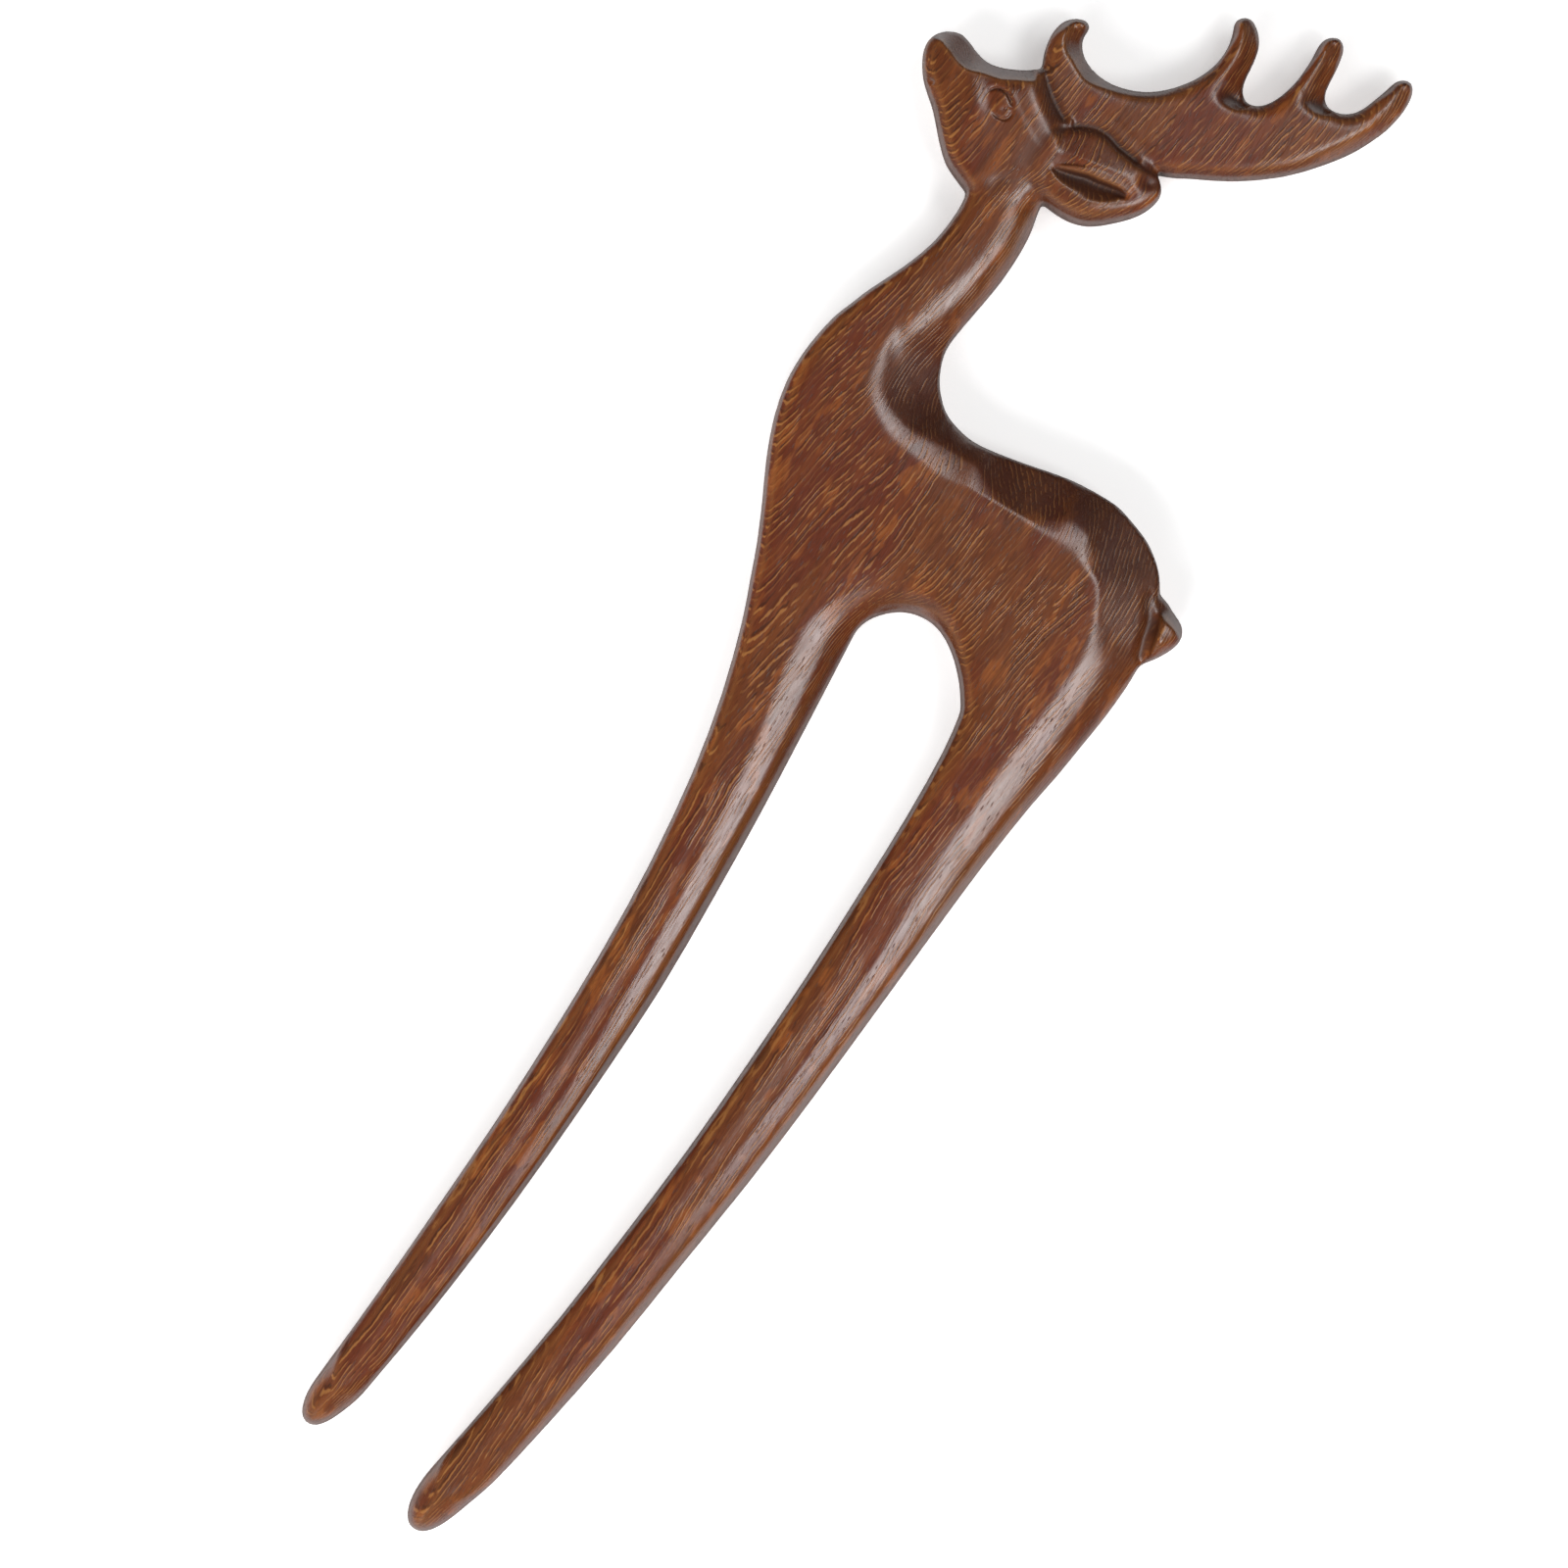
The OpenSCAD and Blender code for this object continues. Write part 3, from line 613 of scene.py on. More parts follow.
THIRD_TINE_RIDGE = (
    (1355, 41), (1353, 50), (1348, 61), (1341, 74.5), (1333, 85), (1326, 94), (1319.5, 105), (1316, 116),
)
FOURTH_TINE_RIDGE = (
    (1433, 85), (1427, 93), (1423, 101.5), (1416, 113), (1403, 124.5), (1392, 134), (1372, 146.5),
    (1356, 154), (1342, 160), (1318, 166),
)
COVES = (
    ((1245, 90), (1249, 98), (1257, 105), (1268, 109)),
    ((1331, 96), (1336, 104), (1344, 111), (1356, 115.5)),
)
# Softened places have a pixel, a radius and a blur; domes have a pixel, two radii, a turn and a rise
SOFTENED = {
    "eye": ((1019.9, 108), 2.8, 0.9),
    "skull": ((1078, 112), 3.2, 0.7),
    "jaw_hollow": ((1060, 150), 2.5, 0.6),
    "ear": ((1115, 172), 4.5, 0.6),
    "jaw_crease": ((1030, 195), 3.0, 0.8),
}
EYE_DOMES = {
    "brow": ((994, 104), (1.1, 2.2), 10, 0.12),
    "corner": ((1009, 105), (0.9, 1.1), 20, -0.12),
    "eyeball": ((1021, 109), (1.1, 1.4), -10, 0.10),
}
EAR_HOLLOW = ((1112, 190), (4.6, 1.5), -15)
EAR_TOP = ((1106, 160), (3.2, 1.4), -24, 0.10)
EAR_END = ((1172, 188), (1.1, 0.9), 0, -0.50)
TAIL_END = ((1181, 655), (1.0, 0.7), -30, 0.3)
TAIL_EDGE = ((1175, 605), (1178, 616), (1180, 626), (1187, 635), (1196, 643), (1203, 652), (1205, 660))
TAIL_SHADE = ((1180, 608), (1186, 622), (1196, 634), (1205, 648))
TAIL_CREASE = (
    (1178, 606), (1172, 612), (1171.5, 622), (1172, 632), (1169.5, 642), (1165.5, 654), (1163, 664),
    (1160, 677),
)
# Lines of painted shade along creases and facets, with the width, the darkness, and how the ends fade
PAINTED_SHADE_LINES = (
    (CHEST_VALLEY, 0.5, 0.5, (1.5, 2.0)),
    (SKULL_FOOT, 0.7, 0.9),
    (JAW_HOLLOW, 0.9, 0.6, (0.8, 3.0)),
    (JAW_CREASE, 0.8, 0.5),
    (EAR_ROOF, 0.5, 0.7),
    (SLIT_FLOOR, 0.9, 0.9),
    (EAR_TIP, 0.7, 0.7),
    (BEAM_BEVEL, 0.7, 0.6),
    (TAIL_SHADE, 0.6, 0.7),
    (COVES[0], 0.8, 0.8),
    (COVES[1], 0.8, 0.8),
)


def carve_body(grid, height, painted_shade):
    """The facets down the back and the legs, and the fold at the chest."""
    roll(grid, height, BACK_EDGE, painted_shade, fade=(2.0, 4.0))
    roll(grid, height, FRONT_LEG_EDGE, painted_shade, fade=(5.0, 4.0), reach=6.5)
    groove(grid, height, CHEST_VALLEY, 0.7, 0.10, fade=(2.5, 2.0))


def carve_face(grid, height, distance):
    """The bevel of the muzzle, the nostril and the eye."""
    bevel(grid, height, distance, MUZZLE_EDGE, 0.8, ease=0.01, fade=(1.0, 1.0))
    groove(grid, height, MUZZLE_EDGE, 0.16, -0.05, fade=(0.8, 6.0))
    groove(grid, height, NOSTRIL, 0.25, 0.40, fade=(0.3, 0.3))
    for place in EYE_DOMES.values():
        dome(grid, height, *place)
    groove(grid, height, UPPER_LID, 0.15, 0.26, fade=(0.8, 0.8))
    groove(grid, height, LOWER_LID, 0.15, 0.22, fade=(0.6, 1.2))
    groove(grid, height, EYE_LINE, 0.10, 0.12, fade=(0.4, 0.4))


def carve_skull_and_ear(grid, height):
    """The undercut behind the skull, the jaw's hollows, and the ear with its rim, roof and slit."""
    slope_from(grid, height, SKULL_FOOT, -1, 2.68, 0.85, ease=0.35, fade=(0.2, 1.2), reach=4.0)
    groove(grid, height, SKULL_FOOT, 0.4, 0.14, fade=(0.6, 0.6))
    groove(grid, height, JAW_HOLLOW, 1.2, 0.10, fade=(1.0, 2.0))
    groove(grid, height, JAW_CREASE, 0.8, 0.16, fade=(2.0, 0.8))

    patch(grid, height, *EAR_HOLLOW)
    dome(grid, height, *EAR_TOP)
    slope_from(grid, height, EAR_RIM, 1, 3.93, -0.28, ease=0.01, fade=(1.0, 1.0), reach=4.0, behind=1.0)
    slope_from(grid, height, EAR_FOOT, -1, 2.7, 1.2, ease=0.03, fade=(0.3, 0.8), reach=2.2)
    groove(grid, height, EAR_ROOF, 0.45, 0.22, fade=(1.0, 1.0), taper=(1.1, 0.7))
    leaf_cut(grid, height, EAR_SLIT, 1.15, 0.6, 2.4)
    dome(grid, height, *EAR_END)


def carve_antler(grid, height, distance):
    """The bevels of the beam and the tines, and the coves between the tines."""
    bevel(grid, height, distance, BROW_TINE_RIDGE, 0.8, ease=0.01, fade=(0.8, 1.0))
    bevel(grid, height, distance, BEAM_BEVEL, 0.8, fade=(1.0, 2.0))
    bevel(grid, height, distance, SECOND_TINE_RIDGE, 0.9, ease=0.05, fade=(0.6, 4.5), reach=4.0)
    bevel(grid, height, distance, THIRD_TINE_RIDGE, 1.0, ease=0.05, fade=(0.6, 4.5), reach=4.0)
    bevel(grid, height, distance, FOURTH_TINE_RIDGE, 1.2, ease=0.06, fade=(0.8, 4.0))
    for cove in COVES:
        groove(grid, height, cove, 0.7, 0.55, fade=(1.6, 1.2), other=1.0)


def carve_tail(grid, height, distance):
    """The tail's rounded end, its bevel and the crease at its foot."""
    dome(grid, height, *TAIL_END)
    bevel(grid, height, distance, TAIL_EDGE, 0.8, fade=(0.5, 1.0))
    groove(grid, height, TAIL_CREASE, 0.45, 0.30, fade=(0.5, 0.8))


def carved(grid, height, distance, painted_shade):
    """The upper half's heights, carved as in the photograph; painted shade along facets and creases is marked
    in its own map.
    """
    height = height.copy()
    for place in SOFTENED.values():
        soften(grid, height, *place)
    carve_body(grid, height, painted_shade)
    carve_face(grid, height, distance)
    carve_skull_and_ear(grid, height)
    carve_antler(grid, height, distance)
    carve_tail(grid, height, distance)
    for crease in PAINTED_SHADE_LINES:
        paint_shade_along(grid, painted_shade, *crease)
    return np.clip(height, LEAST_HALF, HALF_THICKNESS)


SIDE_RADIUS = 18.0
TIP_FULL = 0.25
TIPS = {
    "front_leg": (322, 1450, 1.3, 9.0),
    "hind_leg": (432, 1560, 1.3, 9.0),
    "brow_tine": (1101, 22, 3.0, 4.0),
    "second_tine": (1271, 20, 3.0, 4.0),
    "third_tine": (1360, 40, 3.0, 4.0),
    "fourth_tine": (1433, 84, 3.0, 4.0),
}
BODY_TOP = (50.0, 56.0)
LEAST_HALF = 0.3
HALF_THICKNESS = 4.0
SMOOTHING = (0.3, 0.6, 1.2)
MIDDLE_DEPTHS = (0.6, 1.6)
BROAD_DEPTHS = (1.8, 3.4)
HEAD_SHARE = 0.4
ROUND_EDGE = 0.4


def side_radius(grid):
    """Radius of the side wall: nearly upright, rounder at the tips of the legs and tines.

    A tip has its pixel, the radius there and how far from it, in mm, the rounding starts.
    """
    bend = np.full(grid.shape, 1 / SIDE_RADIUS)
    for px, py, radius, reach in TIPS.values():
        x, y = photo_place(px, py)
        away = np.hypot(grid.x[:, None] - x, grid.y[None, :] - y)
        bend += (1 / radius - 1 / SIDE_RADIUS) * smoothstep(reach, TIP_FULL * reach, away)
    return 1 / bend


def squared_height(height, distance, mask, grid, painted_shade):
    """Square of the half thickness: the CAD's facets smoothed away, and a soft convex side wall."""
    square = np.maximum(height, 0) ** 2
    filled = (height > 0).astype(float) * mask

    def smoothed(sigma):
        return blur(square * filled, sigma) / np.maximum(blur(filled, sigma), TINY)

    fine, middle, broad = (smoothed(sigma) for sigma in SMOOTHING)
    in_body = 1 - smoothstep(*BODY_TOP, grid.y)[None, :]
    deep = smoothstep(*MIDDLE_DEPTHS, distance) * (HEAD_SHARE + (1 - HEAD_SHARE) * in_body)
    deeper = smoothstep(*BROAD_DEPTHS, distance) * in_body
    top = fine + deep * (middle - fine)
    top = top + deeper * (broad - top)
    top = carved(grid, np.sqrt(np.maximum(top, 0)), distance, painted_shade) ** 2
    side = 2 * side_radius(grid) * distance
    return lower_of(top, side, ROUND_EDGE)


triangles, middle_z = cad_triangles()
box_low = triangles.reshape(-1, 3).min(0)[:2] - MARGIN
box_high = triangles.reshape(-1, 3).max(0)[:2] + MARGIN
grid = Map(box_low, box_high)
heights = draw_heights(grid, triangles)
rim = even_points(outline_loop(*section(triangles)), OUTLINE_STEP)
rim = smooth_loop(rim, OUTLINE_SMOOTH / OUTLINE_STEP)
mask = inside_mask(grid, rim)
depth_in = signed_distance(grid, rim, mask)
# Map of painted shade: darker wood on dark facets and along creases
painted_shade = np.zeros(grid.shape)
square = squared_height(heights, depth_in, mask, grid, painted_shade)


# Mesh through the points where the square of the height equals the map's value

def spaced(low, high, regions):
    """Places from low to high with a spacing that follows regions: (centre, half width, spacing)."""
    base = regions[0][2]
    places = [low]
    while places[-1] < high:
        x = places[-1]
        gap = base
        for centre, half, fine in regions[1:]:
            near = smoothstep(half * 1.6, half, abs(x - centre))
            gap = min(gap, base + near * (fine - base))
        places.append(x + gap)
    return np.array(places)


FIELD_LIMIT = 0.8
FIELD_SLOPE = 0.5
PULL_ROUNDS = 4
PULL_LIMIT = 0.05
PULL_SLOPE = 0.3
CURL_BLURS = (0.45, 0.12)


def level_surface(grid, square, gradient, spacing):
    """Points and quads of the solid whose half thickness squared is the map; the points count in mm."""
    gx, gy = gradient
    xs, ys, zs = spacing
    sx, sy = np.meshgrid(xs, ys, indexing="ij")
    value = grid.sample(square, sx, sy)
    slope = grid.sample(gx, sx, sy) ** 2 + grid.sample(gy, sx, sy) ** 2
    field = value[:, :, None] - zs**2
    field /= np.sqrt(slope[:, :, None] + 4 * zs**2 + FIELD_SLOPE)
    field = np.clip(field, -FIELD_LIMIT, FIELD_LIMIT).astype(np.float32)
    volume = vdb.FloatGrid(FIELD_LIMIT)
    volume.copyFromArray(-field)
    points, quads = volume.convertToQuads(isovalue=0)
    index = points.astype(float)
    places = [np.interp(index[:, k], np.arange(len(a)), a) for k, a in enumerate(spacing)]
    return places, quads


def pulled_to_map(grid, square, gradient, places):
    """The points moved along the slope until they lie on the map's surface."""
    gx, gy = gradient
    x, y, z = places
    for _ in range(PULL_ROUNDS):
        v = grid.sample(square, x, y) - z * z
        dx, dy, dz = grid.sample(gx, x, y), grid.sample(gy, x, y), -2 * z
        push = v / np.maximum(dx * dx + dy * dy + dz * dz, PULL_SLOPE)
        push = np.clip(push, -PULL_LIMIT, PULL_LIMIT)
        x, y, z = x - push * dx, y - push * dy, z - push * dz
    return np.stack([x, y, z + middle_z], 1)


def quad_mesh(name, points, quads):
    """A smooth mesh of quads whose faces look outward; points in mm."""
    mesh = bpy.data.meshes.new(name)
    mesh.from_pydata(points * MM, [], quads, shade_flat=False)
    mesh.validate()
    if mesh_volume(mesh) < 0:
        mesh.flip_normals()
    return mesh


def mesh_volume(mesh):
    """Signed volume, which tells whether the faces look outward."""
    t = triangle_corners(mesh)
    return np.einsum("ij,ij->i", t[:, 0], np.cross(t[:, 1], t[:, 2])).sum() / 6


def curl_map(square):
    """How far the surface lies below, or above, its own surroundings, in mm."""
    height = np.sqrt(np.maximum(square, 0))
    return blur(height, CURL_BLURS[0]) - blur(height, CURL_BLURS[1])


def give_values(mesh, grid, name, values):
    """A value for each point of the mesh, from a map; the attribute is read by the wood."""
    points = vertex_places(mesh) / MM
    found = grid.sample(values, points[:, 0], points[:, 1])
    layer = mesh.attributes.new(name, "FLOAT", "POINT")
    layer.data.foreach_set("value", np.clip(found, 0, 1).astype(np.float32))


# Where the mesh is finer: the spacing in general, then centre, half width and spacing of each region
X_REGIONS = ((0, 0, 0.33), (-17.4, 2.4, 0.17), (-4.6, 4.0, 0.25))
Y_REGIONS = ((0, 0, 0.70), (75, 20, 0.27), (64.8, 2.8, 0.17), (28, 24, 0.42))
LEVELS = np.array([0.4, 1.2, 1.9, 2.45, 2.85, 3.2, 3.5, 3.8, 4.1, 4.4])
MESH_MARGIN = 0.5
HOLLOW_DEPTHS = (0.03, 0.16)
CREST_HEIGHTS = (0.03, 0.12)
CREST_FROM_RIM = (0.6, 1.0)
PAINTED_SHADE_BLUR = 0.4

mesh_low, mesh_high = box_low + MESH_MARGIN, box_high - MESH_MARGIN
xs = spaced(mesh_low[0], mesh_high[0], X_REGIONS)
ys = spaced(mesh_low[1], mesh_high[1], Y_REGIONS)
zs = np.concatenate([-LEVELS[::-1], LEVELS])
gradient = np.gradient(square, STEP)
places, quads = level_surface(grid, square, gradient, (xs, ys, zs))
fork_mesh = quad_mesh("carved_fork", pulled_to_map(grid, square, gradient, places), quads)
curl = curl_map(square)
crest = smoothstep(*CREST_HEIGHTS, -curl) * smoothstep(*CREST_FROM_RIM, depth_in)
# Hollow places take painted shade in the wood; crests are worn paler
give_values(fork_mesh, grid, "hollow", smoothstep(*HOLLOW_DEPTHS, curl))
give_values(fork_mesh, grid, "crest", crest)
# The painted shade map goes to the wood as a value of each point
give_values(fork_mesh, grid, "painted_shade", blur(painted_shade, PAINTED_SHADE_BLUR))
fork = bpy.data.objects.new("carved_fork", fork_mesh)
bpy.context.scene.collection.objects.link(fork)
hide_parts(NODE)
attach(fork, "root")
print("fork quads", len(fork_mesh.polygons), "volume mm3", mesh_volume(fork_mesh) / MM**3)


# Wood: thin pale layers through the solid, broken into dashes along the grain, with pores and streaks

def give(tree, node, key, value):
    """Link or set one input of a node."""
    if isinstance(value, bpy.types.NodeSocket):
        tree.links.new(value, node.inputs[key])
    else:
        node.inputs[key].default_value = value


def add(tree, kind, inputs=(), **settings):
    """A node with its settings, and a value or a link for each named input."""
    node = tree.nodes.new(kind)
    for name, value in settings.items():
        setattr(node, name, value)
    for key, value in inputs:
        give(tree, node, key, value)
    return node


class Sums:
    """Short names for the arithmetic of one material."""

    def __init__(self, material):
        material.use_nodes = True
        self.tree = material.node_tree
        self.shader = self.tree.nodes["Principled BSDF"]
        place = add(self.tree, "ShaderNodeTexCoord").outputs["Object"]
        self.mm = self.vector("SCALE", place, scale=1 / MM)
        self.normal = add(self.tree, "ShaderNodeTexCoord").outputs["Normal"]

    def vector(self, operation, a, b=(0, 0, 0), scale=1.0):
        """The result of one sum or product of vectors."""
        inputs = [(0, a), (1, b), (3, scale)]
        node = add(self.tree, "ShaderNodeVectorMath", inputs, operation=operation)
        return node.outputs["Value" if operation == "DOT_PRODUCT" else "Vector"]

    def do(self, operation, a, b=0.0):
        """The result of one operation on numbers."""
        return add(self.tree, "ShaderNodeMath", [(0, a), (1, b)], operation=operation).outputs[0]

    def times(self, a, b):
        """The product of two numbers."""
        return self.do("MULTIPLY", a, b)

    def total(self, start, parts):
        """A number plus each of some values times its amount."""
        for value, amount in parts:
            start = self.do("ADD", start, self.times(value, amount))
        return start

    def ramp(self, value, low, high, to_low=0.0, to_high=1.0):
        """Smooth step of a value between two levels."""
        inputs = [("Value", value), ("From Min", low), ("From Max", high)]
        inputs += [("To Min", to_low), ("To Max", to_high)]
        node = add(self.tree, "ShaderNodeMapRange", inputs, interpolation_type="SMOOTHSTEP")
        return node.outputs["Result"]

    def stretched(self, size, shift):
        """The place in units of size = (x, y, z) millimetres, moved so that patterns differ."""
        scaled = self.vector("MULTIPLY", self.mm, tuple(1 / s for s in size))
        return self.vector("ADD", scaled, (shift, shift * 0.7, shift * 1.3))

    def noise(self, size, detail=1.0, shift=0.0):
        """Noise whose features are size = (x, y, z) millimetres big."""
        inputs = [("Vector", self.stretched(size, shift)), ("Scale", 1.0)]
        inputs += [("Detail", detail), ("Roughness", 0.5)]
        return add(self.tree, "ShaderNodeTexNoise", inputs).outputs["Fac"]

    def cells(self, size, shift):
        """Distance from scattered points, in cells of size = (x, y, z) millimetres."""
        inputs = [("Vector", self.stretched(size, shift)), ("Scale", 1.0)]
        return add(self.tree, "ShaderNodeTexVoronoi", inputs).outputs["Distance"]

    def attribute(self, name):
        """A value that the mesh carries for each of its points."""
        return add(self.tree, "ShaderNodeAttribute", attribute_name=name).outputs["Fac"]

    def facing(self, direction):
        """How much the surface faces a direction or its opposite, from zero to one."""
        return self.do("ABSOLUTE", self.vector("DOT_PRODUCT", self.normal, direction))

    def mix(self, factor, a, b):
        """Colour a changed toward b."""
        return add(self.tree, "ShaderNodeMix", [(0, factor), (6, a), (7, b)], data_type="RGBA").outputs[2]

    def shade(self, **values):
        """Link or set inputs of the shader, whose names have their spaces written as underscores."""
        for name, value in values.items():
            give(self.tree, self.shader, name.replace("_", " "), value)

    def bump(self, relief, depth, strength):
        """The relief of a height; depth in mm."""
        inputs = [("Height", relief), ("Distance", depth * MM), ("Strength", strength)]
        return add(self.tree, "ShaderNodeBump", inputs).outputs["Normal"]


def linear(*screen):
    """Linear colour from the 0 to 255 values that a screen shows."""
    shares = (v / 255 for v in screen)
    return *(v / 12.92 if v <= 0.04045 else ((v + 0.055) / 1.055) ** 2.4 for v in shares), 1.0


WOOD_BASE = linear(106, 55, 27)
WOOD_RED = linear(102, 46, 25)
DARK_WOOD_AND_SHADE = linear(62, 31, 18)
WOOD_ORANGE = linear(146, 80, 35)
WOOD_TAN = linear(166, 110, 56)
PORE_AND_CREASE_SHADE = linear(44, 22, 14)
# The layers' direction, how they turn up the body, their distance, and their bends: size, amount and shift
LAYER = (0.55, 0.0, -0.80)
LAYER_TURN = -0.10
LAYER_GAP = 0.30
LAYER_BENDS = (
    ((14, 40, 14), 3.2, 3.1),
    ((3, 9, 3), 0.45, 7.7),
    ((0.7, 2.4, 0.7), 0.20, 1.9),
    ((0.22, 0.6, 0.22), 0.07, 15.2),
)
LEGS_BELOW = -8.0
WIDE_BAND = 7.3
BESIDE = 1.9
HEAD_FROM = 57.0
HEAD_TO = 63.0


def layer_place(w):
    """Distance across the layers, in mm, bent by noise as grown wood is."""
    height = w.vector("DOT_PRODUCT", w.mm, (0, 1, 0))
    above_legs = w.do("MAXIMUM", w.do("ADD", height, -LEGS_BELOW), 0.0)
    parts = [(above_legs, LAYER_TURN)]
    for size, amount, shift in LAYER_BENDS:
        parts.append((w.do("SUBTRACT", w.noise(size, 1.0, shift), 0.5), amount))
    return w.total(w.vector("DOT_PRODUCT", w.mm, LAYER), parts)


def layer_strength(w, s, level):
    """How clearly the layers show: each has a strength, and they break into dashes and regions."""
    inputs = [("W", w.times(s, 0.8 / LAYER_GAP)), ("Scale", 1.0)]
    each = add(w.tree, "ShaderNodeTexNoise", inputs, noise_dimensions="1D")
    strength = w.ramp(each.outputs["Fac"], 0.32, 0.52, 0.3, 1.0)
    dash = w.ramp(w.noise((0.5, 4.2, 0.5), 1.0, 12.3), 0.40, 0.50)
    region = w.ramp(w.noise((3.0, 8, 3.0), 1.0, 5.5), 0.36, 0.50, 0.25, 1.0)
    drawn = w.times(w.times(dash, region), strength)
    return w.times(drawn, w.ramp(level, 0.55, 0.85, 0.2, 1.0))


def layer_lines(w, level):
    """Pale lines where thin layers meet the surface, the dark line beside each, and a broad band."""
    s = layer_place(w)
    turn = w.times(s, 2 * math.pi / LAYER_GAP)
    wave = w.do("SINE", turn)
    beside = w.do("SINE", w.do("ADD", turn, BESIDE))
    wide = w.do("SINE", w.times(turn, 1 / WIDE_BAND))
    drawn = layer_strength(w, s, level)
    pale = w.times(w.ramp(wave, 0.50, 1.0), drawn)
    shade = w.times(w.ramp(beside, 0.50, 1.0), drawn)
    return pale, shade, wide


class Grain:
    """The values that the wood's colour, roughness and relief share."""

    def __init__(self, w):
        self.level = w.facing((0, 0, 1))
        self.pale, self.shade, self.wide = layer_lines(w, self.level)
        flame = w.ramp(w.noise((1.2, 4.5, 1.2), 1.5, 40.0), 0.56, 0.63)
        self.flame = w.times(flame, w.ramp(w.noise((6, 12, 6), 1.0, 17.0), 0.42, 0.55))
        self.streak = w.noise((0.6, 7, 0.6), 2.0, 33.0)
        self.fleck = w.noise((0.14, 0.8, 0.14), 0.0, 4.0)
        pore = w.ramp(w.cells((0.24, 1.3, 0.24), 2.0), 0.30, 0.14)
        self.pore = w.times(pore, w.ramp(w.noise((0.8, 3, 0.8), 1.0, 9.0), 0.45, 0.6))
        self.brush = w.noise((0.25, 2.6, 0.25), 1.0, 51.0)
        # Painted shade along facets and creases, read from the mesh
        self.painted_shade = w.attribute("painted_shade")
        self.hollow = w.attribute("hollow")
        self.crest = w.attribute("crest")


def wood_colour(w, grain):
    """Two browns, with flames, streaks, flecks, painted shade on facets and in creases, layer lines and pores
    over them.
    """
    broad = w.noise((5, 26, 5), 2.0, 21.0)
    layers = (
        (w.ramp(broad, 0.42, 0.58), WOOD_RED),
        (w.ramp(grain.wide, -0.2, 1.0, 0.0, 0.22), WOOD_ORANGE),
        (w.times(grain.flame, 0.7), WOOD_ORANGE),
        (w.ramp(grain.streak, 0.54, 0.72, 0.0, 0.4), DARK_WOOD_AND_SHADE),
        (w.ramp(grain.fleck, 0.5, 0.75, 0.0, 0.3), DARK_WOOD_AND_SHADE),
        # Painted shade on facets and along creases, which also dims the pale lines there
        (w.times(grain.painted_shade, 0.85), DARK_WOOD_AND_SHADE),
        (w.times(grain.shade, 0.75), DARK_WOOD_AND_SHADE),
        (w.times(grain.pale, w.ramp(grain.painted_shade, 0, 1, 0.8, 0.35)), WOOD_TAN),
        (w.times(grain.pore, 0.6), PORE_AND_CREASE_SHADE),
        # Darker on end grain, whose cut fibres drink the finish; painted shade on the side walls
        (w.ramp(w.facing((0, 1, 0)), 0.15, 0.7, 0.0, 0.65), DARK_WOOD_AND_SHADE),
        (w.ramp(grain.level, 0.75, 0.35, 0.0, 0.5), DARK_WOOD_AND_SHADE),
        # Painted shade in carved creases, a little paler where edges have worn
        (w.times(grain.hollow, 0.55), PORE_AND_CREASE_SHADE),
        (w.times(grain.crest, 0.18), WOOD_TAN),
    )
    colour = WOOD_BASE
    for amount, tint in layers:
        colour = w.mix(amount, colour, tint)
    return colour


def wood_roughness(w, grain):
    """A rubbed gloss, duller on the head, in pores and hollows, under the painted shade and on the side
    walls.
    """
    rough = w.do("ADD", w.times(grain.brush, 0.14), 0.19)
    height = w.vector("DOT_PRODUCT", w.mm, (0, 1, 0))
    rough = w.do("ADD", rough, w.ramp(height, HEAD_FROM, HEAD_TO, 0.0, 0.03))
    duller = ((grain.pore, 0.3), (grain.pale, 0.06), (grain.hollow, 0.2), (grain.painted_shade, 0.08))
    return w.do("ADD", w.total(rough, duller), w.ramp(grain.level, 0.6, 0.2, 0.0, 0.3))


def wood_relief(w, grain):
    """Height of the fine grain: flecks, layers and brush marks stand out, shades and pores lie deeper."""
    parts = ((grain.pale, 0.4), (grain.brush, 0.4), (grain.shade, -0.4), (grain.pore, -0.3))
    return w.total(w.times(grain.fleck, 0.25), parts)


def wood_material():
    """The oiled hardwood of the fork."""
    mat = bpy.data.materials.new("wood")
    w = Sums(mat)
    grain = Grain(w)
    w.shade(Base_Color=wood_colour(w, grain), Roughness=wood_roughness(w, grain))
    w.shade(Specular_IOR_Level=0.75, Normal=w.bump(wood_relief(w, grain), 0.03, 0.5))
    return mat


fork_mesh.materials.append(wood_material())


# Floor, lights and camera

FLOOR_SIZE = 4.0
FLOOR_GLOW = 0.45
FLOOR_GREY = (0.93, 0.93, 0.93, 1)
FLOOR_PALE = (0.95, 0.95, 0.95, 1)


def floor_material():
    """Plain pale paper with faint clouds and a fine grain."""
    mat = bpy.data.materials.new("pale_floor")
    w = Sums(mat)
    cloud = w.ramp(w.noise((60, 60, 60), 2.0), 0.3, 0.7)
    w.shade(Base_Color=w.mix(cloud, FLOOR_GREY, FLOOR_PALE), Roughness=0.8, Specular_IOR_Level=0.1)
    w.shade(Emission_Color=(1, 1, 1, 1), Emission_Strength=FLOOR_GLOW)
    w.shade(Normal=w.bump(w.noise((1.5, 1.5, 1.5), 2.0), 0.02, 0.3))
    return mat


def floor():
    """A large pale square under the fork."""
    mesh = bpy.data.meshes.new("floor")
    s = FLOOR_SIZE / 2
    mesh.from_pydata([(-s, -s, 0), (s, -s, 0), (s, s, 0), (-s, s, 0)], [], [(0, 1, 2, 3)])
    obj = bpy.data.objects.new("floor", mesh)
    bpy.context.scene.collection.objects.link(obj)
    mesh.materials.append(floor_material())


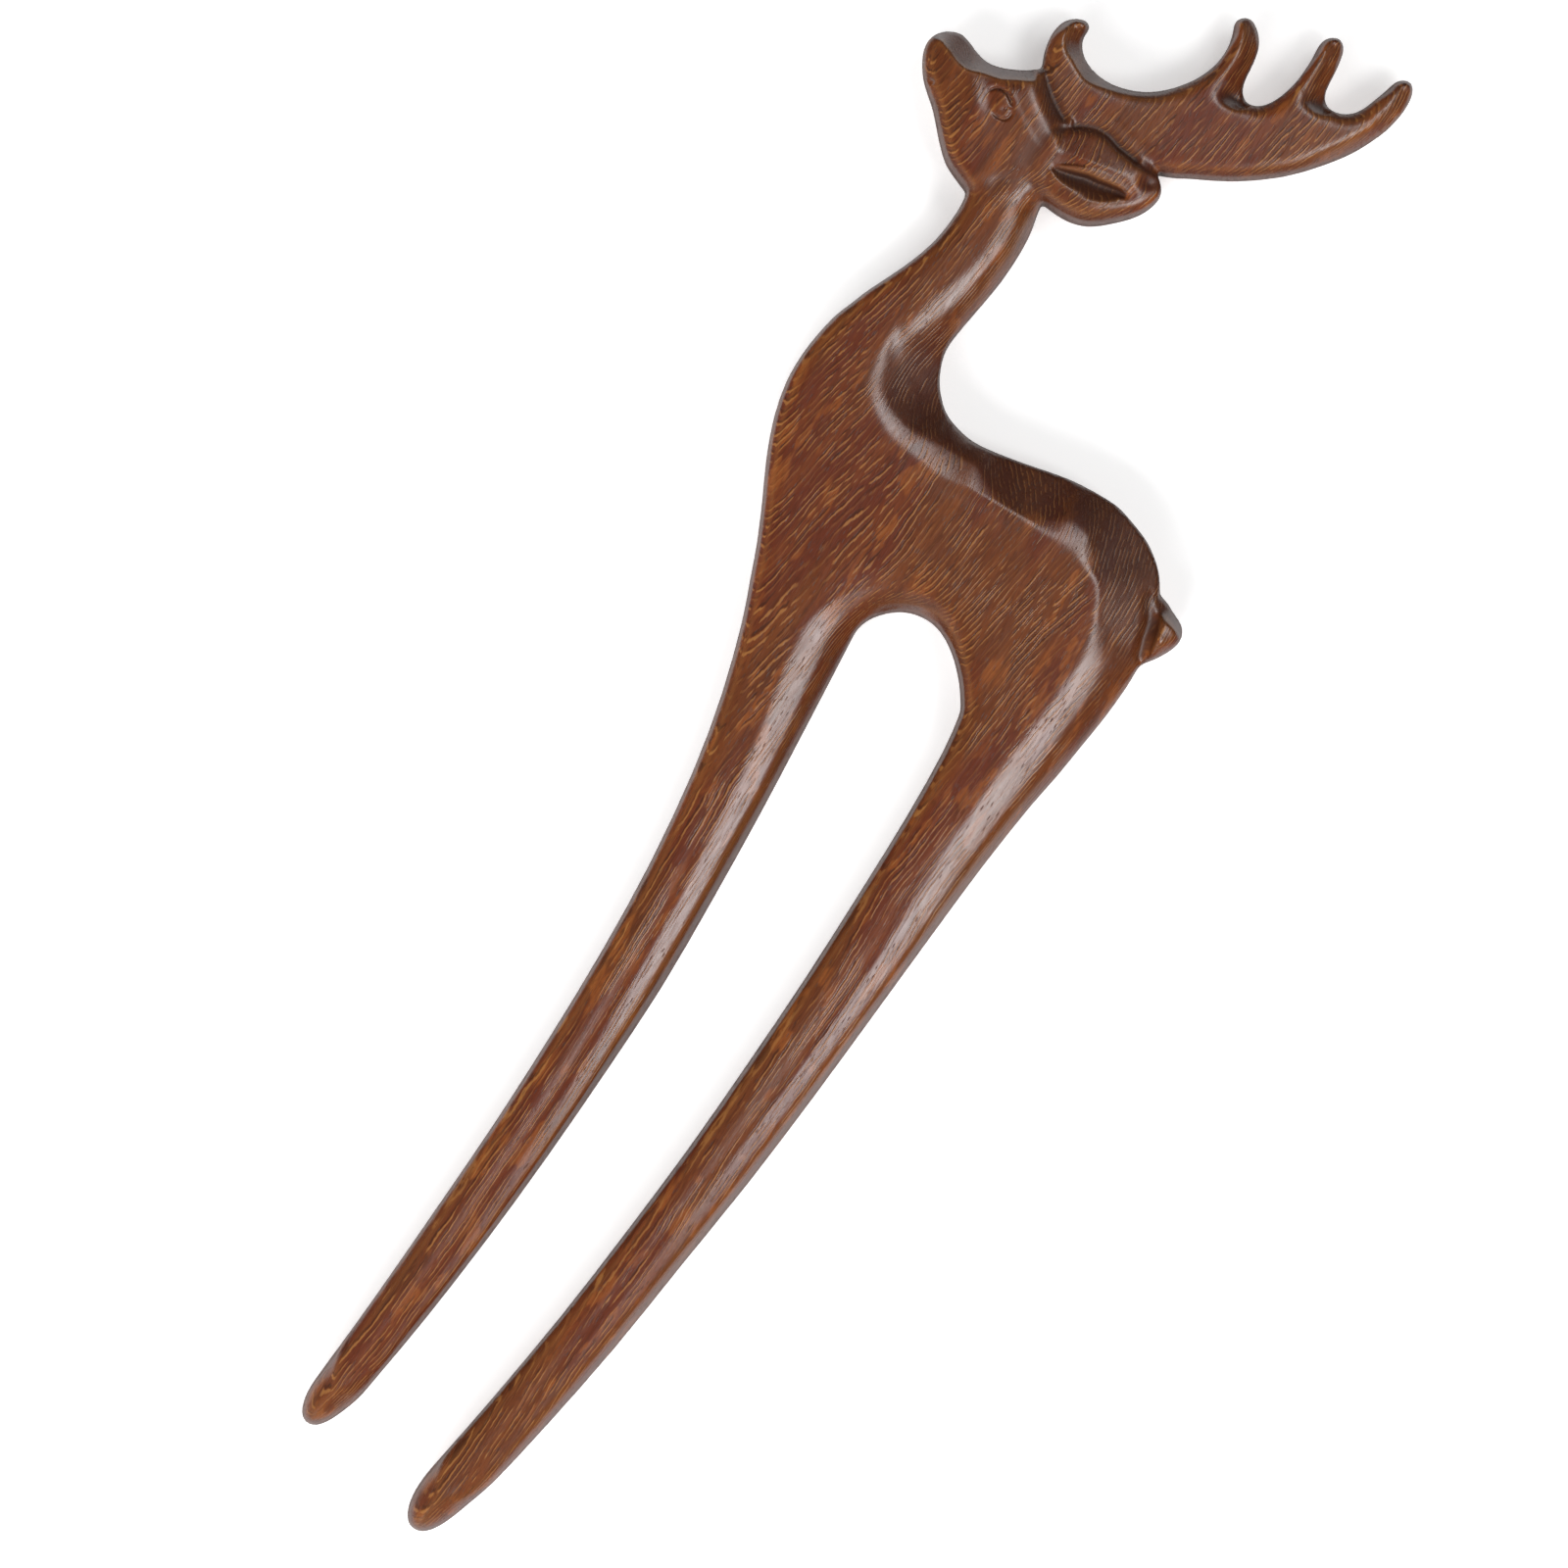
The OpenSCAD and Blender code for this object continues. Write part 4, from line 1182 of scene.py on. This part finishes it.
SIDE_AZIMUTH = -95
CAMERA_HEIGHT = 0.7

# Lights: azimuth from +X, tilt from straight up, distance, size, power, and whether the gloss shows them
LIGHTS = {
    "soft_side": (SIDE_AZIMUTH, 62, 1.3, 1.2, 23.0, False),
    "strip": (0, 29, 0.9, 0.24, 1.8, True),
    "chest_spot": (30, 29, 0.9, 0.20, 0.5, True),
    "saddle_spot": (56, 29, 0.9, 0.18, 0.4, True),
    "spot": (76, 29, 0.9, 0.22, 0.95, True),
}


def direction(azimuth, tilt):
    """Unit vector toward a light, from degrees."""
    a, t = math.radians(azimuth), math.radians(tilt)
    return Vector((math.cos(a) * math.sin(t), math.sin(a) * math.sin(t), math.cos(t)))


def area_light(name, azimuth, tilt, distance, size, power, glossy):
    """A soft square light that looks at the middle of the frame."""
    light = bpy.data.lights.new(name, "AREA")
    light.shape = "SQUARE"
    light.size = size
    light.energy = power
    obj = bpy.data.objects.new(name, light)
    obj.location = direction(azimuth, tilt) * distance
    obj.rotation_mode = "QUATERNION"
    obj.rotation_quaternion = obj.location.to_track_quat("Z", "Y")
    obj.visible_glossy = glossy
    bpy.context.scene.collection.objects.link(obj)


WORLD_TILT = 75
WORLD_LOBE = 2.0
WORLD_SIDE = 0.4
WORLD_DIM = 0.05


def studio_world():
    """A dim room that is brighter low down on the side the soft light comes from."""
    world = bpy.data.worlds.new("studio")
    world.use_nodes = True
    tree = world.node_tree
    place = add(tree, "ShaderNodeTexCoord").outputs["Generated"]
    side = tuple(direction(SIDE_AZIMUTH, WORLD_TILT))
    toward = add(tree, "ShaderNodeVectorMath", [(0, place), (1, side)], operation="DOT_PRODUCT")
    near = add(tree, "ShaderNodeMath", [(0, toward.outputs["Value"]), (1, 0.0)], operation="MAXIMUM")
    lobe = add(tree, "ShaderNodeMath", [(0, near.outputs[0]), (1, WORLD_LOBE)], operation="POWER")
    inputs = [(0, lobe.outputs[0]), (1, WORLD_SIDE), (2, WORLD_DIM)]
    light = add(tree, "ShaderNodeMath", inputs, operation="MULTIPLY_ADD")
    give(tree, tree.nodes["Background"], "Color", (1, 1, 1, 1))
    give(tree, tree.nodes["Background"], "Strength", light.outputs[0])
    return world


def camera():
    """Looks straight down with the photograph's turn and framing."""
    cam = bpy.data.cameras.new("camera")
    cam.lens = cam.sensor_width * CAMERA_HEIGHT / (PHOTO_SIZE * PIXEL * MM)
    cam.clip_start, cam.clip_end = 0.01, 10
    obj = bpy.data.objects.new("camera", cam)
    x, y = photo_place(PHOTO_CENTRE, PHOTO_CENTRE)
    place = Matrix.Translation((x * MM, y * MM, middle_z * MM + CAMERA_HEIGHT))
    turn = Matrix((PHOTO_RIGHT, PHOTO_UP, PHOTO_RIGHT.cross(PHOTO_UP))).transposed()
    obj.matrix_world = place @ turn.to_4x4()
    bpy.context.scene.collection.objects.link(obj)
    bpy.context.scene.camera = obj


floor()
for name, settings in LIGHTS.items():
    area_light(name, *settings)
camera()
bpy.context.scene.world = studio_world()
bpy.context.scene.view_settings.view_transform = "Standard"
